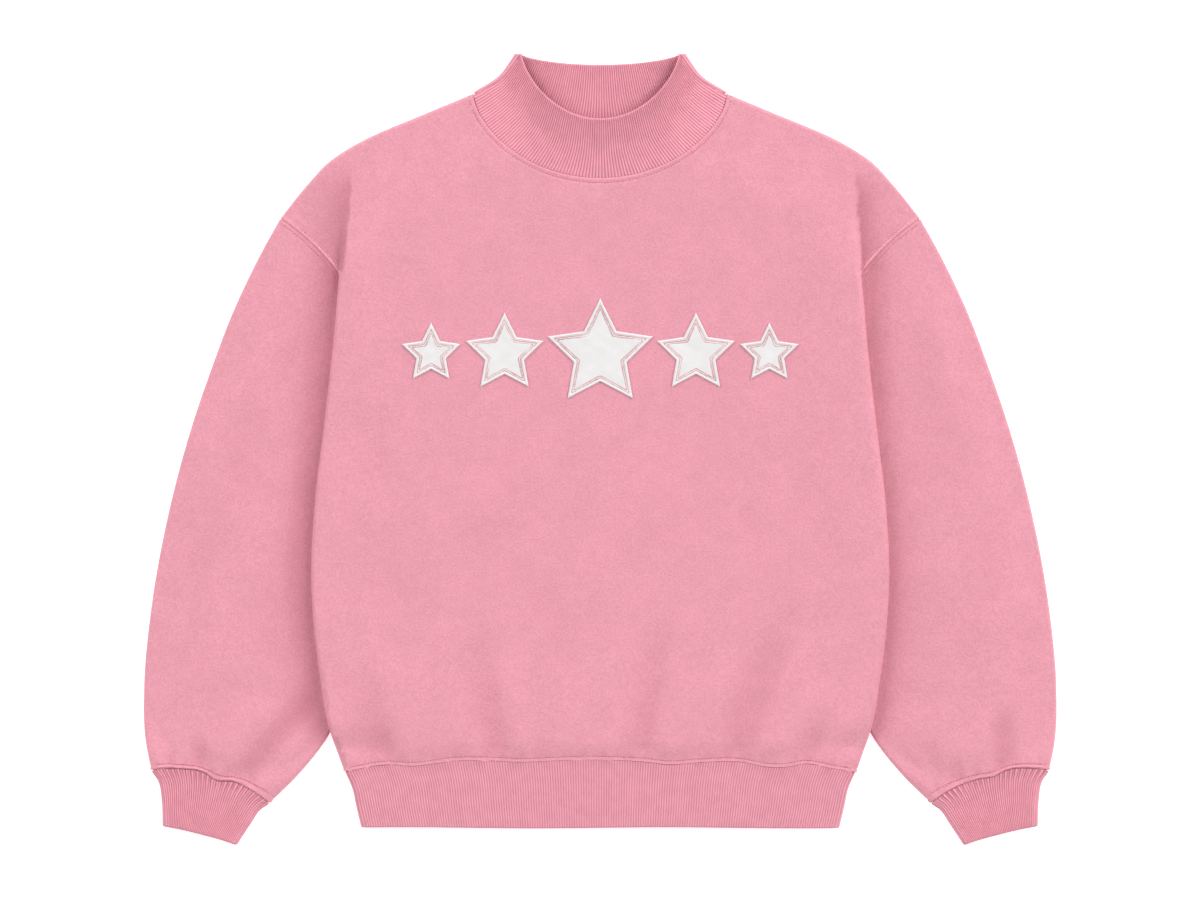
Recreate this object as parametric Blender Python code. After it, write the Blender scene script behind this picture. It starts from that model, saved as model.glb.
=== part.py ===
"""Mock neck sweatshirt, laid flat on its back with both sleeves folded down beside the body.

The tables are in millimetres. X runs across the chest, Y runs up to the neck, and Z is the
height over the surface that the garment lies on. Left and right are the wearer's, so the
left sleeve is at +X. Every cloth is described by its middle surface and its thickness.
"""

from collections import namedtuple

import bpy
import numpy as np

MM = 0.001

# ---------------------------------------------------------------- driving dimensions

CLOTH = 2.4  # brushed fleece
RIB = 2.8  # rib knit, folded double
APPLIQUE = 0.9  # sewn-on twill motif
SEAM = 0.3  # gap between pieces that are sewn together

BODY_SPACE = 6.0  # clear height between front and back at the middle of the body
SLEEVE_SPACE = 5.0  # clear height inside the middle of a sleeve
HEM_SPACE = 4.8  # clear height inside the hem rib
CUFF_SPACE = 4.6  # clear height inside a cuff
NECK_SPACE = 8.2  # clear height under the front edge of the collar

SHOULDER_FOLD = 2.0  # radius of the cloth at the shoulder seam
SLEEVE_FOLD = 1.8  # radius of the cloth along the edges of a sleeve
SLEEVE_END_FOLD = 3.4  # the same where the sleeve is gathered into its cuff
SIDE_FOLD = 2.4  # radius of the cloth at the body's side
SIDE_LIFT = 6.5  # how far the body's side rises to lie on the sleeve

SHOULDER_SLOPE = 80.0  # how far in from the shoulder the body reaches its full height
SIDE_SLOPE = 75.0  # how far in from the side it comes down from the sleeve
SLEEVE_SLOPE = 50.0  # how far in from its outer edge a sleeve reaches its full height
VALLEY_WIDTH = 34.0  # the low strip of a sleeve that the body lies on
VALLEY_SLOPE = 55.0  # how far the sleeve takes to rise from that strip
RISE = 8.0  # width of the step by which the back climbs onto the sleeve

HEM_SEAM = -279.5  # Y of the hem seam at the middle
HEM_ARCH = 9.5  # how much lower the seam is at the sides
HEM_BOTTOM = -340.2
NECK_FRONT = 244.4  # Y of the neck seam at the middle of the front
NECK_BACK = 292.0
COLLAR_FRONT = 297.5  # Y of the collar's edge at the middle of the front
COLLAR_BACK = 346.3
FRONT_NECK_POWER = 1.24  # 1 gives a pointed neck seam and 2 a round one
BACK_NECK_POWER = 1.4
COLLAR_EDGE_POWER = 1.36
NECK_SIDE_GAP = 0.6  # extra gap under the collar's side fold
NECK_EDGE_GAPS = (1.2, 6.0)  # the collar's gap in seams at the middle, and what the side adds
COLLAR_CROWN = 0.8  # size of the collar's side fold at its edge, over half its clear height
COLLAR_CROWN_POWER = 0.7
COLLAR_SPREAD = 2.5  # how fast the collar leaves the line of its seam
UNDERARM = -14.0  # Y where the side seam starts
FOLD_END = 158.0  # Y where the body's side fold meets the armhole seam
CREASE_TOP = 273.0  # Y where the crease above that fold fades out
CREASE_SHARE = 0.615  # share of the shoulder seam between the neck and that crease
SLEEVE_TOP = 204.0  # Y where the sleeve's outer edge starts
TUBE_TOP = 0.0  # Y below which a sleeve is a closed tube

GATHER_SWELL = 1.4  # growth of the side fold's radius down to the hem
GATHER_START = -250.0
GATHER_RUN = 35.0
LIFT_RUN = 12.0  # width over which the body's side rises onto the sleeve
BLOUSE = 1.5  # extra height of the cloth that is gathered over the hem
BLOUSE_RUN = 18.0
BLOUSE_TOP = -175.0
BLOUSE_FADE = 75.0
HEM_DIP = 0.4  # drop to the hem seam
HEM_DIP_TOP = -262.0
HEM_DIP_RUN = 18.0
SETTLE = 3.2  # drop of the body's side from the armhole up to the shoulder
SETTLE_RUN = 100.0
PUFF = 1.0  # extra height of a sleeve over its cuff
PUFF_TOP = -215.0
PUFF_RUN = 50.0
VALLEY_END = -275.0  # Y where the low strip of a sleeve ends
VALLEY_FADE = 60.0
STEP_WIDTH = 5.0  # width of the step at the body's side, over the armhole
STEP_SPREAD = 30.0  # growth of that width up to the shoulder
STEP_RUN = 95.0
ARMHOLE_BLEND = 62.0  # distance over which the front comes down to the armhole seam
FOLD_FADE = 1.6  # how soon a fold over the hem reaches its whole depth
FOLD_AT_SEAM = 0.25  # share of a fold's depth that is left at the hem seam
FOLD_RUN = 16.0
FLAP_CLEAR = 14.0  # from the body's side fold to the start of the back's flap
FLAP_GAP = 1.0  # from the flap's step to the sleeve's inner edge
TUCK_GAP = 0.5  # least length of the front's edge that is tucked back under the fold
BOW_POWER = 6  # how late a sleeve's sections bow down to its cuff
END_RUNS = (0.8, 0.9)  # shares of a sleeve where its fold and its height turn to the cuff's

Edge = namedtuple("Edge", "y x")
Fold = namedtuple("Fold", "x_seam x_top y_top width depth")
CuffRow = namedtuple("CuffRow", "outer_x outer_y inner_x inner_y bow")
Star = namedtuple("Star", "name x radius")

# The body's side, from the hem seam up, then on as the crease that fades out on the shoulder.
BODY_SIDE = [
    Edge(-288.0, 230.5), Edge(-253.0, 243.0), Edge(-200.0, 252.5), Edge(-115.0, 259.8),
    Edge(-40.0, 255.8), Edge(25.0, 248.0), Edge(85.0, 241.2), Edge(158.0, 234.5),
    Edge(215.0, 229.0), Edge(275.0, 226.0),
]
# The shoulder, from the neck to the end of the armhole seam.
SHOULDER = [
    Edge(320.0, 114.3), Edge(301.0, 160.2), Edge(280.0, 209.5), Edge(260.6, 241.7),
    Edge(240.0, 261.7), Edge(208.0, 287.5),
]
# The armhole seam, from the shoulder down under the body's side to the underarm.
ARMHOLE = [
    Edge(208.0, 287.5), Edge(192.0, 267.0), Edge(175.0, 249.5), Edge(158.0, 235.5),
    Edge(120.0, 230.0), Edge(75.0, 229.0), Edge(30.0, 229.0), Edge(2.0, 225.8),
]
# A sleeve's outer edge, from the armhole to the cuff.
SLEEVE_OUTER = [
    Edge(208.0, 287.5), Edge(179.6, 303.3), Edge(125.6, 329.4), Edge(71.6, 350.1),
    Edge(17.6, 368.4), Edge(-63.5, 389.7), Edge(-144.5, 404.1), Edge(-212.0, 410.3),
    Edge(-262.0, 409.0), Edge(-288.5, 404.0),
]
# A sleeve's inner edge, under the body down to where it comes out, then to the cuff.
SLEEVE_INNER = [
    Edge(275.0, 220.0), Edge(158.0, 228.0), Edge(60.0, 227.0), Edge(0.0, 226.0),
    Edge(-60.0, 224.0), Edge(-150.0, 222.0), Edge(-215.0, 230.0), Edge(-253.4, 242.3),
    Edge(-292.0, 271.0), Edge(-318.2, 297.2),
]
# The hem rib's side, from the seam to the bottom.
HEM_SIDE = [
    Edge(-288.5, 229.5), Edge(-306.0, 222.5), Edge(-320.0, 219.6), Edge(-340.2, 214.7),
]
# The collar's side, from the neck seam to the peak.
COLLAR_SIDE = [
    Edge(320.0, 114.3), Edge(333.5, 92.9), Edge(347.0, 82.0), Edge(355.6, 76.4),
]
# The soft folds that rise from the hem seam, each a trough in the front.
HEM_FOLDS = [
    Fold(-196.0, -223.0, -212.0, 15.0, 2.2),
    Fold(-94.0, -112.0, -160.0, 13.0, 1.8),
    Fold(40.0, 62.0, -146.0, 13.0, 1.9),
    Fold(130.0, 182.0, -120.0, 17.0, 2.4),
    Fold(178.0, 206.0, -236.0, 13.0, 1.6),
]
# A cuff, from its seam to its end.
CUFF_ROWS = [
    CuffRow(403.6, -288.6, 297.6, -318.2, 9.7),
    CuffRow(396.6, -299.5, 306.6, -324.5, 6.0),
    CuffRow(393.9, -318.0, 315.0, -337.0, 3.2),
    CuffRow(393.3, -338.8, 327.3, -355.7, 1.6),
]
# The row of stars across the chest.
STAR_HEIGHT = 86.0
STAR_WAIST = 0.50  # radius of a star's inner corners over that of its tips
STAR_CORE = 0.2  # size of a star's innermost ring of points over its whole size
STARS = [
    Star("star_1", -152.0, 28.0), Star("star_2", -86.0, 37.0), Star("star_3", 0.0, 50.0),
    Star("star_4", 86.0, 37.0), Star("star_5", 152.0, 28.0),
]

# ---------------------------------------------------------------- where the sections are

SIDE_ROWS = [-288.0, -279.0, -267.0, -254.0, -234.0, -205.0, -165.0, -115.0, -65.0, -14.0]
FOLD_ROWS = [35.0, 90.0, 130.0, 158.0]
ARMHOLE_ROWS = [170.0, 182.0, 195.0, 207.4]
BACK_ROWS = [UNDERARM - 2.0, 2.0]  # rows of the back where its flap ends
FRONT_TUCK = 560.0  # length over which the rows of the shoulder's round are spaced
BACK_TUCK = 500.0
RISE_SHARES = (0.33, 0.67, 1.0)
HEM_SHARES = (0.0, 0.35, 1.0)
FRONT_COLUMNS = 12  # from the middle of the front to its side
STRIP_COLUMNS = 4  # from there round the fold, or out to the armhole
NECK_COLUMNS = 6  # of those, the ones that end on the neck seam
BACK_COLUMNS = 7
BACK_NECK_COLUMNS = 4
SLEEVE_TUBE_ROWS = 9
SLEEVE_TOP_COLUMNS = 7
SLEEVE_BOTTOM_COLUMNS = 3
HEM_FRONT_COLUMNS = 18
HEM_BACK_COLUMNS = 10
COLLAR_LEVELS = 5
ARC_STEPS = 3  # faces in a quarter of a fold
SHARP_ANGLE = 0.9  # radians between faces that meet in a visible edge

FLEECE_COLOUR = (0.86, 0.376, 0.456)
RIB_COLOUR = (0.75, 0.302, 0.371)
TWILL_COLOUR = (0.85, 0.82, 0.83)


# ---------------------------------------------------------------- curves

def ease(t):
    """Smooth step from 0 to 1."""
    t = np.clip(t, 0.0, 1.0)
    return t * t * (3.0 - 2.0 * t)


def mix(a, b, t):
    """The value a share t of the way from a to b."""
    return a + (b - a) * t


def through(knots, values, at):
    """The smooth curve through the values, read at the given places."""
    knots = np.asarray(knots, float)
    values = np.asarray(values, float)
    if knots[0] > knots[-1]:
        knots = knots[::-1]
        values = values[::-1]
    slopes = np.gradient(values, knots)
    at = np.clip(at, knots[0], knots[-1])
    cell = np.clip(np.searchsorted(knots, at, side="right") - 1, 0, len(knots) - 2)
    span = knots[cell + 1] - knots[cell]
    t = (at - knots[cell]) / span
    start = (1 + 2 * t) * (1 - t) ** 2 * values[cell] + t * (1 - t) ** 2 * span * slopes[cell]
    end = t * t * (3 - 2 * t) * values[cell + 1] + t * t * (t - 1) * span * slopes[cell + 1]
    return start + end


def reach(outline, y):
    """Half width of an outline at a height."""
    return through([edge.y for edge in outline], [edge.x for edge in outline], y)


def path(outline, count):
    """Evenly spaced points along an outline, as an array of (x, y)."""
    heights = np.linspace(outline[0].y, outline[-1].y, 8 * count)
    dense = np.column_stack([reach(outline, heights), heights])
    steps = np.linalg.norm(np.diff(dense, axis=0), axis=1)
    length = np.concatenate([[0.0], np.cumsum(steps)])
    wanted = np.linspace(0.0, length[-1], count)
    return np.column_stack([np.interp(wanted, length, dense[:, 0]),
                            np.interp(wanted, length, dense[:, 1])])


def distance(line, x, y):
    """Distance in plan from points to a line of (x, y) points, on either side of the body."""
    x = np.abs(np.asarray(x, float))
    y = np.asarray(y, float)
    nearest = np.full(np.broadcast(x, y).shape, np.inf)
    for start, end in zip(line[:-1], line[1:]):
        along = end - start
        t = ((x - start[0]) * along[0] + (y - start[1]) * along[1]) / along.dot(along)
        t = np.clip(t, 0.0, 1.0)
        gap = np.hypot(x - start[0] - t * along[0], y - start[1] - t * along[1])
        nearest = np.minimum(nearest, gap)
    return nearest


def rounding(inside, radius):
    """Height of a fold's round edge over the middle of the fold, at a distance inside it."""
    return np.sqrt(np.maximum(radius ** 2 - np.maximum(radius - inside, 0.0) ** 2, 0.0))


def inset(line, amount):
    """A line of (x, y) points moved to its right-hand side."""
    along = np.gradient(line, axis=0)
    along /= np.linalg.norm(along, axis=1)[:, None]
    return line + np.reshape(amount, (-1, 1)) * np.column_stack([along[:, 1], -along[:, 0]])


def neck_line(columns, neck_y, power):
    """Where the collar starts: a panel's neck edge, moved off it, most at the side fold."""
    line = top_edge(columns, columns, neck_y, power, 0.0)
    middle_gap, side_gap = NECK_EDGE_GAPS
    clear = SEAM * (middle_gap + side_gap * np.linspace(0.0, 1.0, len(line)) ** 3)
    return inset(line, -clear)


SHOULDER_LINE = inset(path(SHOULDER, 40), CLOTH / 2)
ARMHOLE_LINE = path(ARMHOLE, 60)


# ---------------------------------------------------------------- heights

def overlap(y):
    """How far the body's side lies over the sleeve's inner edge."""
    return reach(BODY_SIDE, y) - reach(SLEEVE_INNER, y)


def side_fold(y):
    """Radius of the fold at the body's side."""
    return SIDE_FOLD + GATHER_SWELL * ease((GATHER_START - y) / GATHER_RUN)


def flap_height(y):
    """Middle of the back cloth where it lies on the sleeve."""
    return CLOTH / 2 + SIDE_LIFT * ease((overlap(y) + LIFT_RUN) / LIFT_RUN)


def side_line(y):
    """X where the front starts to turn down at the body's side."""
    return reach(BODY_SIDE, y) - CLOTH / 2 - side_fold(y)


def hem_seam(x):
    """Y of the hem seam."""
    return HEM_SEAM - HEM_ARCH * (np.abs(x) / BODY_SIDE[0].x) ** 4


def fold_depth(x, y):
    """Depth of the soft folds over the hem."""
    depth = 0.0
    for fold in HEM_FOLDS:
        up = (y - HEM_SEAM) / (fold.y_top - HEM_SEAM)
        middle = mix(fold.x_seam, fold.x_top, up)
        at_seam = mix(FOLD_AT_SEAM, 1.0, ease((y - hem_seam(x)) / FOLD_RUN))
        strength = ease((1.0 - up) * FOLD_FADE) * at_seam
        depth = depth + fold.depth * strength * np.exp(-((x - middle) / fold.width) ** 2)
    return depth


def body_height(x, y):
    """Middle of the front cloth over the body."""
    blouse = BLOUSE * ease((y - hem_seam(x)) / BLOUSE_RUN) * ease((BLOUSE_TOP - y) / BLOUSE_FADE)
    dip = HEM_DIP * ease((HEM_DIP_TOP - y) / HEM_DIP_RUN)
    centre = CLOTH * 1.5 + BODY_SPACE + blouse - dip
    settle = SETTLE * ease((y - FOLD_END) / SETTLE_RUN)
    side = flap_height(y) + 2.0 * side_fold(y) - settle
    level = mix(side, centre, ease((side_line(y) - np.abs(x)) / SIDE_SLOPE))
    from_shoulder = distance(SHOULDER_LINE, x, y)
    shoulder = CLOTH / 2 + 2.0 * SHOULDER_FOLD
    height = mix(shoulder, level, ease(from_shoulder / SHOULDER_SLOPE))
    drop = SHOULDER_FOLD - rounding(from_shoulder, SHOULDER_FOLD)
    return height - drop - fold_depth(x, y)


def arm_height(x, y):
    """Middle of the upper cloth of a sleeve."""
    x = np.abs(x)
    outer = np.where(y > SHOULDER[-1].y, reach(SHOULDER, y), reach(SLEEVE_OUTER, y))
    inner = reach(SLEEVE_INNER, y)
    low = CLOTH / 2 + 2.0 * SLEEVE_FOLD
    crest = CLOTH * 1.5 + SLEEVE_SPACE + PUFF * ease((PUFF_TOP - y) / PUFF_RUN)
    level = mix(low, crest, ease((outer - x) / SLEEVE_SLOPE))
    hidden = VALLEY_WIDTH * ease((y - VALLEY_END) / VALLEY_FADE)
    return mix(low, level, ease((x - inner - hidden) / VALLEY_SLOPE))


def front_height(x, y):
    """Middle of the front cloth, over the body and on out to the armhole seam."""
    beyond = np.abs(x) - side_line(y)
    width = STEP_WIDTH + STEP_SPREAD * ease((y - FOLD_END) / STEP_RUN)
    body = body_height(x, y)
    away = ease(distance(ARMHOLE_LINE, x, y) / ARMHOLE_BLEND)
    cap = mix(arm_height(x, y), body, away)
    return np.where(y > FOLD_END, mix(body, cap, ease(beyond / width)), body)


# ---------------------------------------------------------------- solids

def finish(name, colour, roughness):
    """Plain material of one cloth."""
    material = bpy.data.materials.new(name)
    material.use_nodes = True
    shader = material.node_tree.nodes["Principled BSDF"]
    shader.inputs["Base Color"].default_value = (*colour, 1.0)
    shader.inputs["Roughness"].default_value = roughness
    shader.inputs["Metallic"].default_value = 0.0
    return material


def add_object(name, points, faces, origin, material, parent):
    """One sub-part, with its own origin, from points in millimetres."""
    mesh = bpy.data.meshes.new(name)
    mesh.from_pydata(((points - origin) * MM).tolist(), [], faces)
    mesh.materials.append(material)
    mesh.shade_smooth()
    mesh.set_sharp_from_angle(angle=SHARP_ANGLE)
    piece = bpy.data.objects.new(name, mesh)
    piece.location = [value * MM for value in origin]
    piece.parent = parent
    bpy.context.collection.objects.link(piece)
    return piece


def grid_faces(rows, columns, closed, missing):
    """Corners of the four-sided faces of a grid, leaving out the missing ones."""
    faces = []
    for row in range(rows - 1):
        for column in range(columns if closed else columns - 1):
            if missing and missing(row, column):
                continue
            after = (column + 1) % columns
            faces.append((row * columns + column, row * columns + after,
                          (row + 1) * columns + after, (row + 1) * columns + column))
    return faces


def surface_normals(points, faces):
    """Average facing of a middle surface at each of its points."""
    normals = np.zeros_like(points)
    for face in faces:
        a, b, c, d = (points[corner] for corner in face)
        facing = np.cross(c - a, d - b)
        for corner in face:
            normals[corner] += facing / max(np.linalg.norm(facing), 1e-9)
    lengths = np.linalg.norm(normals, axis=1)
    lengths[lengths == 0.0] = 1.0
    return normals / lengths[:, None]


def wall(rows, thickness, closed=False, missing=None, edge_normals=None):
    """Points and triangles of a cloth wall whose middle surface is a grid of points."""
    rows = np.asarray(rows, float)
    row_count, column_count = rows.shape[:2]
    points = rows.reshape(-1, 3)
    faces = grid_faces(row_count, column_count, closed, missing)
    normals = surface_normals(points, faces)
    for place, normal in (edge_normals or {}).items():
        normals[place[0] * column_count + place[1]] = normal
    borders = {}
    triangles = []
    count = len(points)
    for a, b, c, d in faces:
        triangles += [(a, b, c), (a, c, d)]
        triangles += [(count + c, count + b, count + a), (count + d, count + c, count + a)]
        for edge in ((a, b), (b, c), (c, d), (d, a)):
            if edge[::-1] in borders:
                del borders[edge[::-1]]
            else:
                borders[edge] = True
    for start, end in borders:
        triangles += [(end, start, count + start), (end, count + start, count + end)]
    both = np.concatenate([points + normals * thickness / 2, points - normals * thickness / 2])
    used = sorted({corner for triangle in triangles for corner in triangle})
    renumber = {old: new for new, old in enumerate(used)}
    triangles = [tuple(renumber[corner] for corner in triangle) for triangle in triangles]
    return both[used], triangles


def mirrored(points, triangles):
    """The same wall on the other side of the body."""
    return points * np.array([-1.0, 1.0, 1.0]), [triangle[::-1] for triangle in triangles]


# ---------------------------------------------------------------- body panels

def top_edge(columns, neck_columns, neck_y, neck_power, shoulder_end):
    """Points of a panel's top edge: along the neck seam, then along the shoulder."""
    corner = SHOULDER_LINE[0] + np.array([-SEAM / 2, 0.0])
    angles = np.linspace(0.0, np.pi / 2, neck_columns + 1)
    neck = np.column_stack([
        corner[0] * np.sin(angles),
        mix(neck_y - SEAM / 2, corner[1], 1.0 - np.cos(angles) ** neck_power)])
    length = np.linspace(0.0, shoulder_end, columns - neck_columns + 1)[1:]
    places = length * (len(SHOULDER_LINE) - 1)
    index = np.arange(len(SHOULDER_LINE))
    shoulder = np.column_stack([np.interp(places, index, SHOULDER_LINE[:, 0]),
                                np.interp(places, index, SHOULDER_LINE[:, 1])])
    return np.concatenate([neck, shoulder])


def panel_plan(top, right, share):
    """Plan of half a panel, between its middle, hem, side and top edge."""
    columns = len(top)
    u = np.linspace(0.0, 1.0, columns)[None, :, None]
    v = np.asarray(share)[:, None, None]
    across = np.linspace(0.0, right[0][0], columns)
    bottom = np.column_stack([across, hem_seam(across) + SEAM / 2])[None]
    left = mix(bottom[0, 0], top[0], v[:, 0])[:, None, :]
    right = np.asarray(right)[:, None, :]
    corners = ((1 - u) * (1 - v) * bottom[0, 0] + u * (1 - v) * right[0, 0]
               + (1 - u) * v * top[0] + u * v * right[-1, 0])
    return (1 - v) * bottom + v * top[None] + (1 - u) * left + u * right - corners


def fold_share(length, radius):
    """Shares of a length at which the rows of a fold's quarter lie."""
    angles = np.linspace(0.0, np.pi / 2, ARC_STEPS + 1)
    return radius * (1.0 - np.cos(angles)) / length


def armhole_point(y, side):
    """A point of a panel's edge at the armhole, or of the sleeve's on the other side."""
    return np.array([float(reach(ARMHOLE, y)) - side * 0.75 * SEAM, y])


def shoulder_normals(rows, row, columns):
    """The cloth stands upright where front and back meet at the shoulder."""
    normals = {}
    for column in columns:
        ahead = rows[row][min(column + 1, len(rows[row]) - 1)] - rows[row][column - 1]
        outward = np.array([-ahead[1], ahead[0], 0.0])
        normals[(row, column)] = outward / np.linalg.norm(outward)
    return normals


def whole_row(half):
    """A row across the whole body from its right-hand half."""
    left = [point * np.array([-1.0, 1.0, 1.0]) for point in half[:0:-1]]
    return left + list(half)


def front_strip(y, plan_end, seam_end):
    """Points beyond the side line: the round fold, or the cloth out to the armhole seam."""
    radius = side_fold(y)
    middle = flap_height(y) + radius
    axis = side_line(y)
    if y <= UNDERARM:
        angles = np.radians([67.5, 45.0, 22.5, 0.0])
        points = [[axis + radius * np.cos(a), y, middle + radius * np.sin(a)] for a in angles]
        points[-1][2] += SEAM / 2
        return points
    if y <= FOLD_END:
        angles = np.radians([50.0, -10.0, -80.0])
        points = [[axis + radius * np.cos(a), y, middle + radius * np.sin(a)] for a in angles]
        inward = min(axis - TUCK_GAP, float(reach(ARMHOLE, y)) + FLAP_GAP)
        return points + [[inward, y, middle - radius]]
    points = []
    for share in np.linspace(0.0, 1.0, STRIP_COLUMNS + 1)[1:]:
        spot = mix(plan_end, seam_end, share)
        points.append([spot[0], spot[1], float(front_height(spot[0], spot[1]))])
    return points


def front_panel():
    """Front, from the hem seam to the neck and shoulders, and out to the armholes."""
    heights = SIDE_ROWS + FOLD_ROWS
    seam_heights = heights + ARMHOLE_ROWS
    climb = (CREASE_TOP - FOLD_END) / (ARMHOLE_ROWS[-1] - FOLD_END)
    crease = heights + [FOLD_END + (y - FOLD_END) * climb for y in ARMHOLE_ROWS]
    top = top_edge(FRONT_COLUMNS, NECK_COLUMNS, NECK_FRONT, FRONT_NECK_POWER, CREASE_SHARE)
    right = [np.array([float(side_line(y)), y]) for y in crease[:-1]] + [top[-1]]
    right[0] = np.array([right[0][0], float(hem_seam(right[0][0])) + SEAM / 2])
    share = [(y - crease[0]) / (crease[-1] - crease[0]) for y in crease]
    tuck = fold_share(FRONT_TUCK, SHOULDER_FOLD)[1:]
    for extra in tuck[::-1]:
        place = np.array([np.interp(1.0 - extra, share, [p[k] for p in right]) for k in (0, 1)])
        right.insert(-1, place)
        seam_heights.insert(-1, float(np.interp(1.0 - extra, share, seam_heights)))
        share.insert(-1, 1.0 - extra)
    plan = panel_plan(top, right, share)
    rows = []
    for row, y in enumerate(seam_heights):
        points = [np.array([x, yy, 0.0]) for x, yy in plan[row]]
        seam = armhole_point(y, 1) if y > FOLD_END else None
        strip = front_strip(y, plan[row][-1], seam)
        rows.append(whole_row(points + [np.array(point) for point in strip]))
    rows = np.array(rows)
    count = rows.shape[1]
    inner = slice(STRIP_COLUMNS, count - STRIP_COLUMNS)
    rows[:, inner, 2] = front_height(rows[:, inner, 0], rows[:, inner, 1])
    last = len(rows) - 1
    middle = count // 2
    shoulder = [k for k in range(count) if abs(k - middle) >= NECK_COLUMNS]
    rows[last, shoulder, 2] = CLOTH / 2 + SHOULDER_FOLD + SEAM / 2
    normals = shoulder_normals(rows, last, shoulder[:-1])
    normals[(last, 0)] = normals[(last, 1)]
    normals[(last, count - 1)] = normals[(last, count - 2)]
    for row, y in enumerate(seam_heights):
        if y <= UNDERARM:
            normals[(row, 0)] = np.array([-1.0, 0.0, 0.0])
            normals[(row, count - 1)] = np.array([1.0, 0.0, 0.0])
    return wall(rows, CLOTH, edge_normals=normals)


def back_panel():
    """Back, flat on the surface, with a strip at each side that climbs onto the sleeve."""
    heights = SIDE_ROWS[:-1] + BACK_ROWS + FOLD_ROWS + ARMHOLE_ROWS
    top = top_edge(BACK_COLUMNS, BACK_NECK_COLUMNS, NECK_BACK, BACK_NECK_POWER, 1.0)
    right = []
    for y in heights:
        under_sleeve = float(reach(SLEEVE_INNER, y)) - RISE - FLAP_GAP
        base = min(under_sleeve, float(side_line(y)) - FLAP_CLEAR)
        point = np.array([base, y]) if y < UNDERARM else armhole_point(y, 1)
        right.append(point)
    right[0] = np.array([right[0][0], float(hem_seam(right[0][0])) + SEAM / 2])
    right[-1] = top[-1]
    share = [(y - heights[0]) / (heights[-1] - heights[0]) for y in heights]
    for extra in fold_share(BACK_TUCK, SHOULDER_FOLD)[:0:-1]:
        place = np.array([np.interp(1.0 - extra, share, [p[k] for p in right]) for k in (0, 1)])
        right.insert(-1, place)
        heights.insert(-1, float(np.interp(1.0 - extra, share, heights)))
        share.insert(-1, 1.0 - extra)
    plan = panel_plan(top, right, share)
    from_shoulder = distance(SHOULDER_LINE, plan[..., 0], plan[..., 1])
    lift = SHOULDER_FOLD - rounding(from_shoulder, SHOULDER_FOLD)
    rows = []
    for row, y in enumerate(heights):
        half = [np.array([x, yy, CLOTH / 2 + up]) for (x, yy), up in zip(plan[row], lift[row])]
        rows.append(whole_row(half + back_flap(y, right[row][0])))
    rows = np.array(rows)
    count = rows.shape[1]
    flap = (count - 2 * BACK_COLUMNS - 1) // 2
    last = len(rows) - 1
    middle = count // 2
    edge = [k for k in range(flap, count - flap) if abs(k - middle) >= BACK_NECK_COLUMNS]
    rows[last, edge, 2] = CLOTH / 2 + SHOULDER_FOLD - SEAM / 2
    normals = shoulder_normals(rows, last, edge)
    normals = {place: -normal for place, normal in normals.items()}
    normals[(last, flap)] = normals[(last, flap + 1)]
    normals[(last, count - 1 - flap)] = normals[(last, count - 2 - flap)]
    flap_rows = sum(y < UNDERARM for y in heights)
    for row in range(flap_rows):
        normals[(row, 0)] = np.array([1.0, 0.0, 0.0])
        normals[(row, count - 1)] = np.array([-1.0, 0.0, 0.0])

    def missing(row, column):
        beyond = column < flap or column >= count - 1 - flap
        return beyond and row >= flap_rows - 1

    return wall(rows, CLOTH, missing=missing, edge_normals=normals)


def back_flap(y, base):
    """The back's side strip: up onto the sleeve, across it and round the fold to the seam."""
    radius = float(side_fold(y))
    level = float(flap_height(y))
    axis = float(side_line(y))
    points = []
    for share in RISE_SHARES:
        points.append([base + share * RISE, y, mix(CLOTH / 2, level, float(ease(share)))])
    for angle in np.radians([-90.0, -60.0, -30.0, 0.0]):
        points.append([axis + radius * np.cos(angle), y, level + radius + radius * np.sin(angle)])
    points[-1][2] -= SEAM / 2
    if y <= SIDE_ROWS[0]:
        for point in points:
            point[1] = float(hem_seam(point[0])) + SEAM / 2
    return [np.array(point) for point in points]


# ---------------------------------------------------------------- sleeves and cuffs

def tube_ring(outer, inner, bow, radius, top, wall_half, top_columns, bottom_columns):
    """One closed section of a flattened tube, between its outer and inner edge."""
    outer = np.asarray(outer, float)
    inner = np.asarray(inner, float)
    width = np.linalg.norm(inner - outer)
    along = (inner - outer) / width
    up = np.array([along[1], -along[0]])
    edge = wall_half + radius
    axis = wall_half + radius

    def place(from_outer, height):
        share = 2.0 * from_outer / width - 1.0
        spot = outer + along * from_outer + up * bow * (1.0 - abs(share) ** 3)
        return [spot[0], spot[1], height]

    ring = []
    for angle in np.linspace(0.0, 90.0, ARC_STEPS + 1):
        turn = np.radians(angle)
        ring.append(place(edge - radius * np.cos(turn), axis + radius * np.sin(turn)))
    for share in np.linspace(0.0, 1.0, top_columns + 1)[1:-1]:
        ring.append(place(mix(edge, width - edge, share), None))
    for angle in np.linspace(90.0, -90.0, 2 * ARC_STEPS + 1):
        turn = np.radians(angle)
        ring.append(place(width - edge + radius * np.cos(turn), axis + radius * np.sin(turn)))
    for share in np.linspace(1.0, 0.0, bottom_columns + 1)[1:-1]:
        ring.append(place(mix(edge, width - edge, share), wall_half))
    for angle in np.linspace(-90.0, 0.0, ARC_STEPS + 1)[:-1]:
        turn = np.radians(angle)
        ring.append(place(edge - radius * np.cos(turn), axis + radius * np.sin(turn)))
    for point in ring:
        if point[2] is None:
            point[2] = float(top(point[0], point[1]))
    return ring


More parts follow.
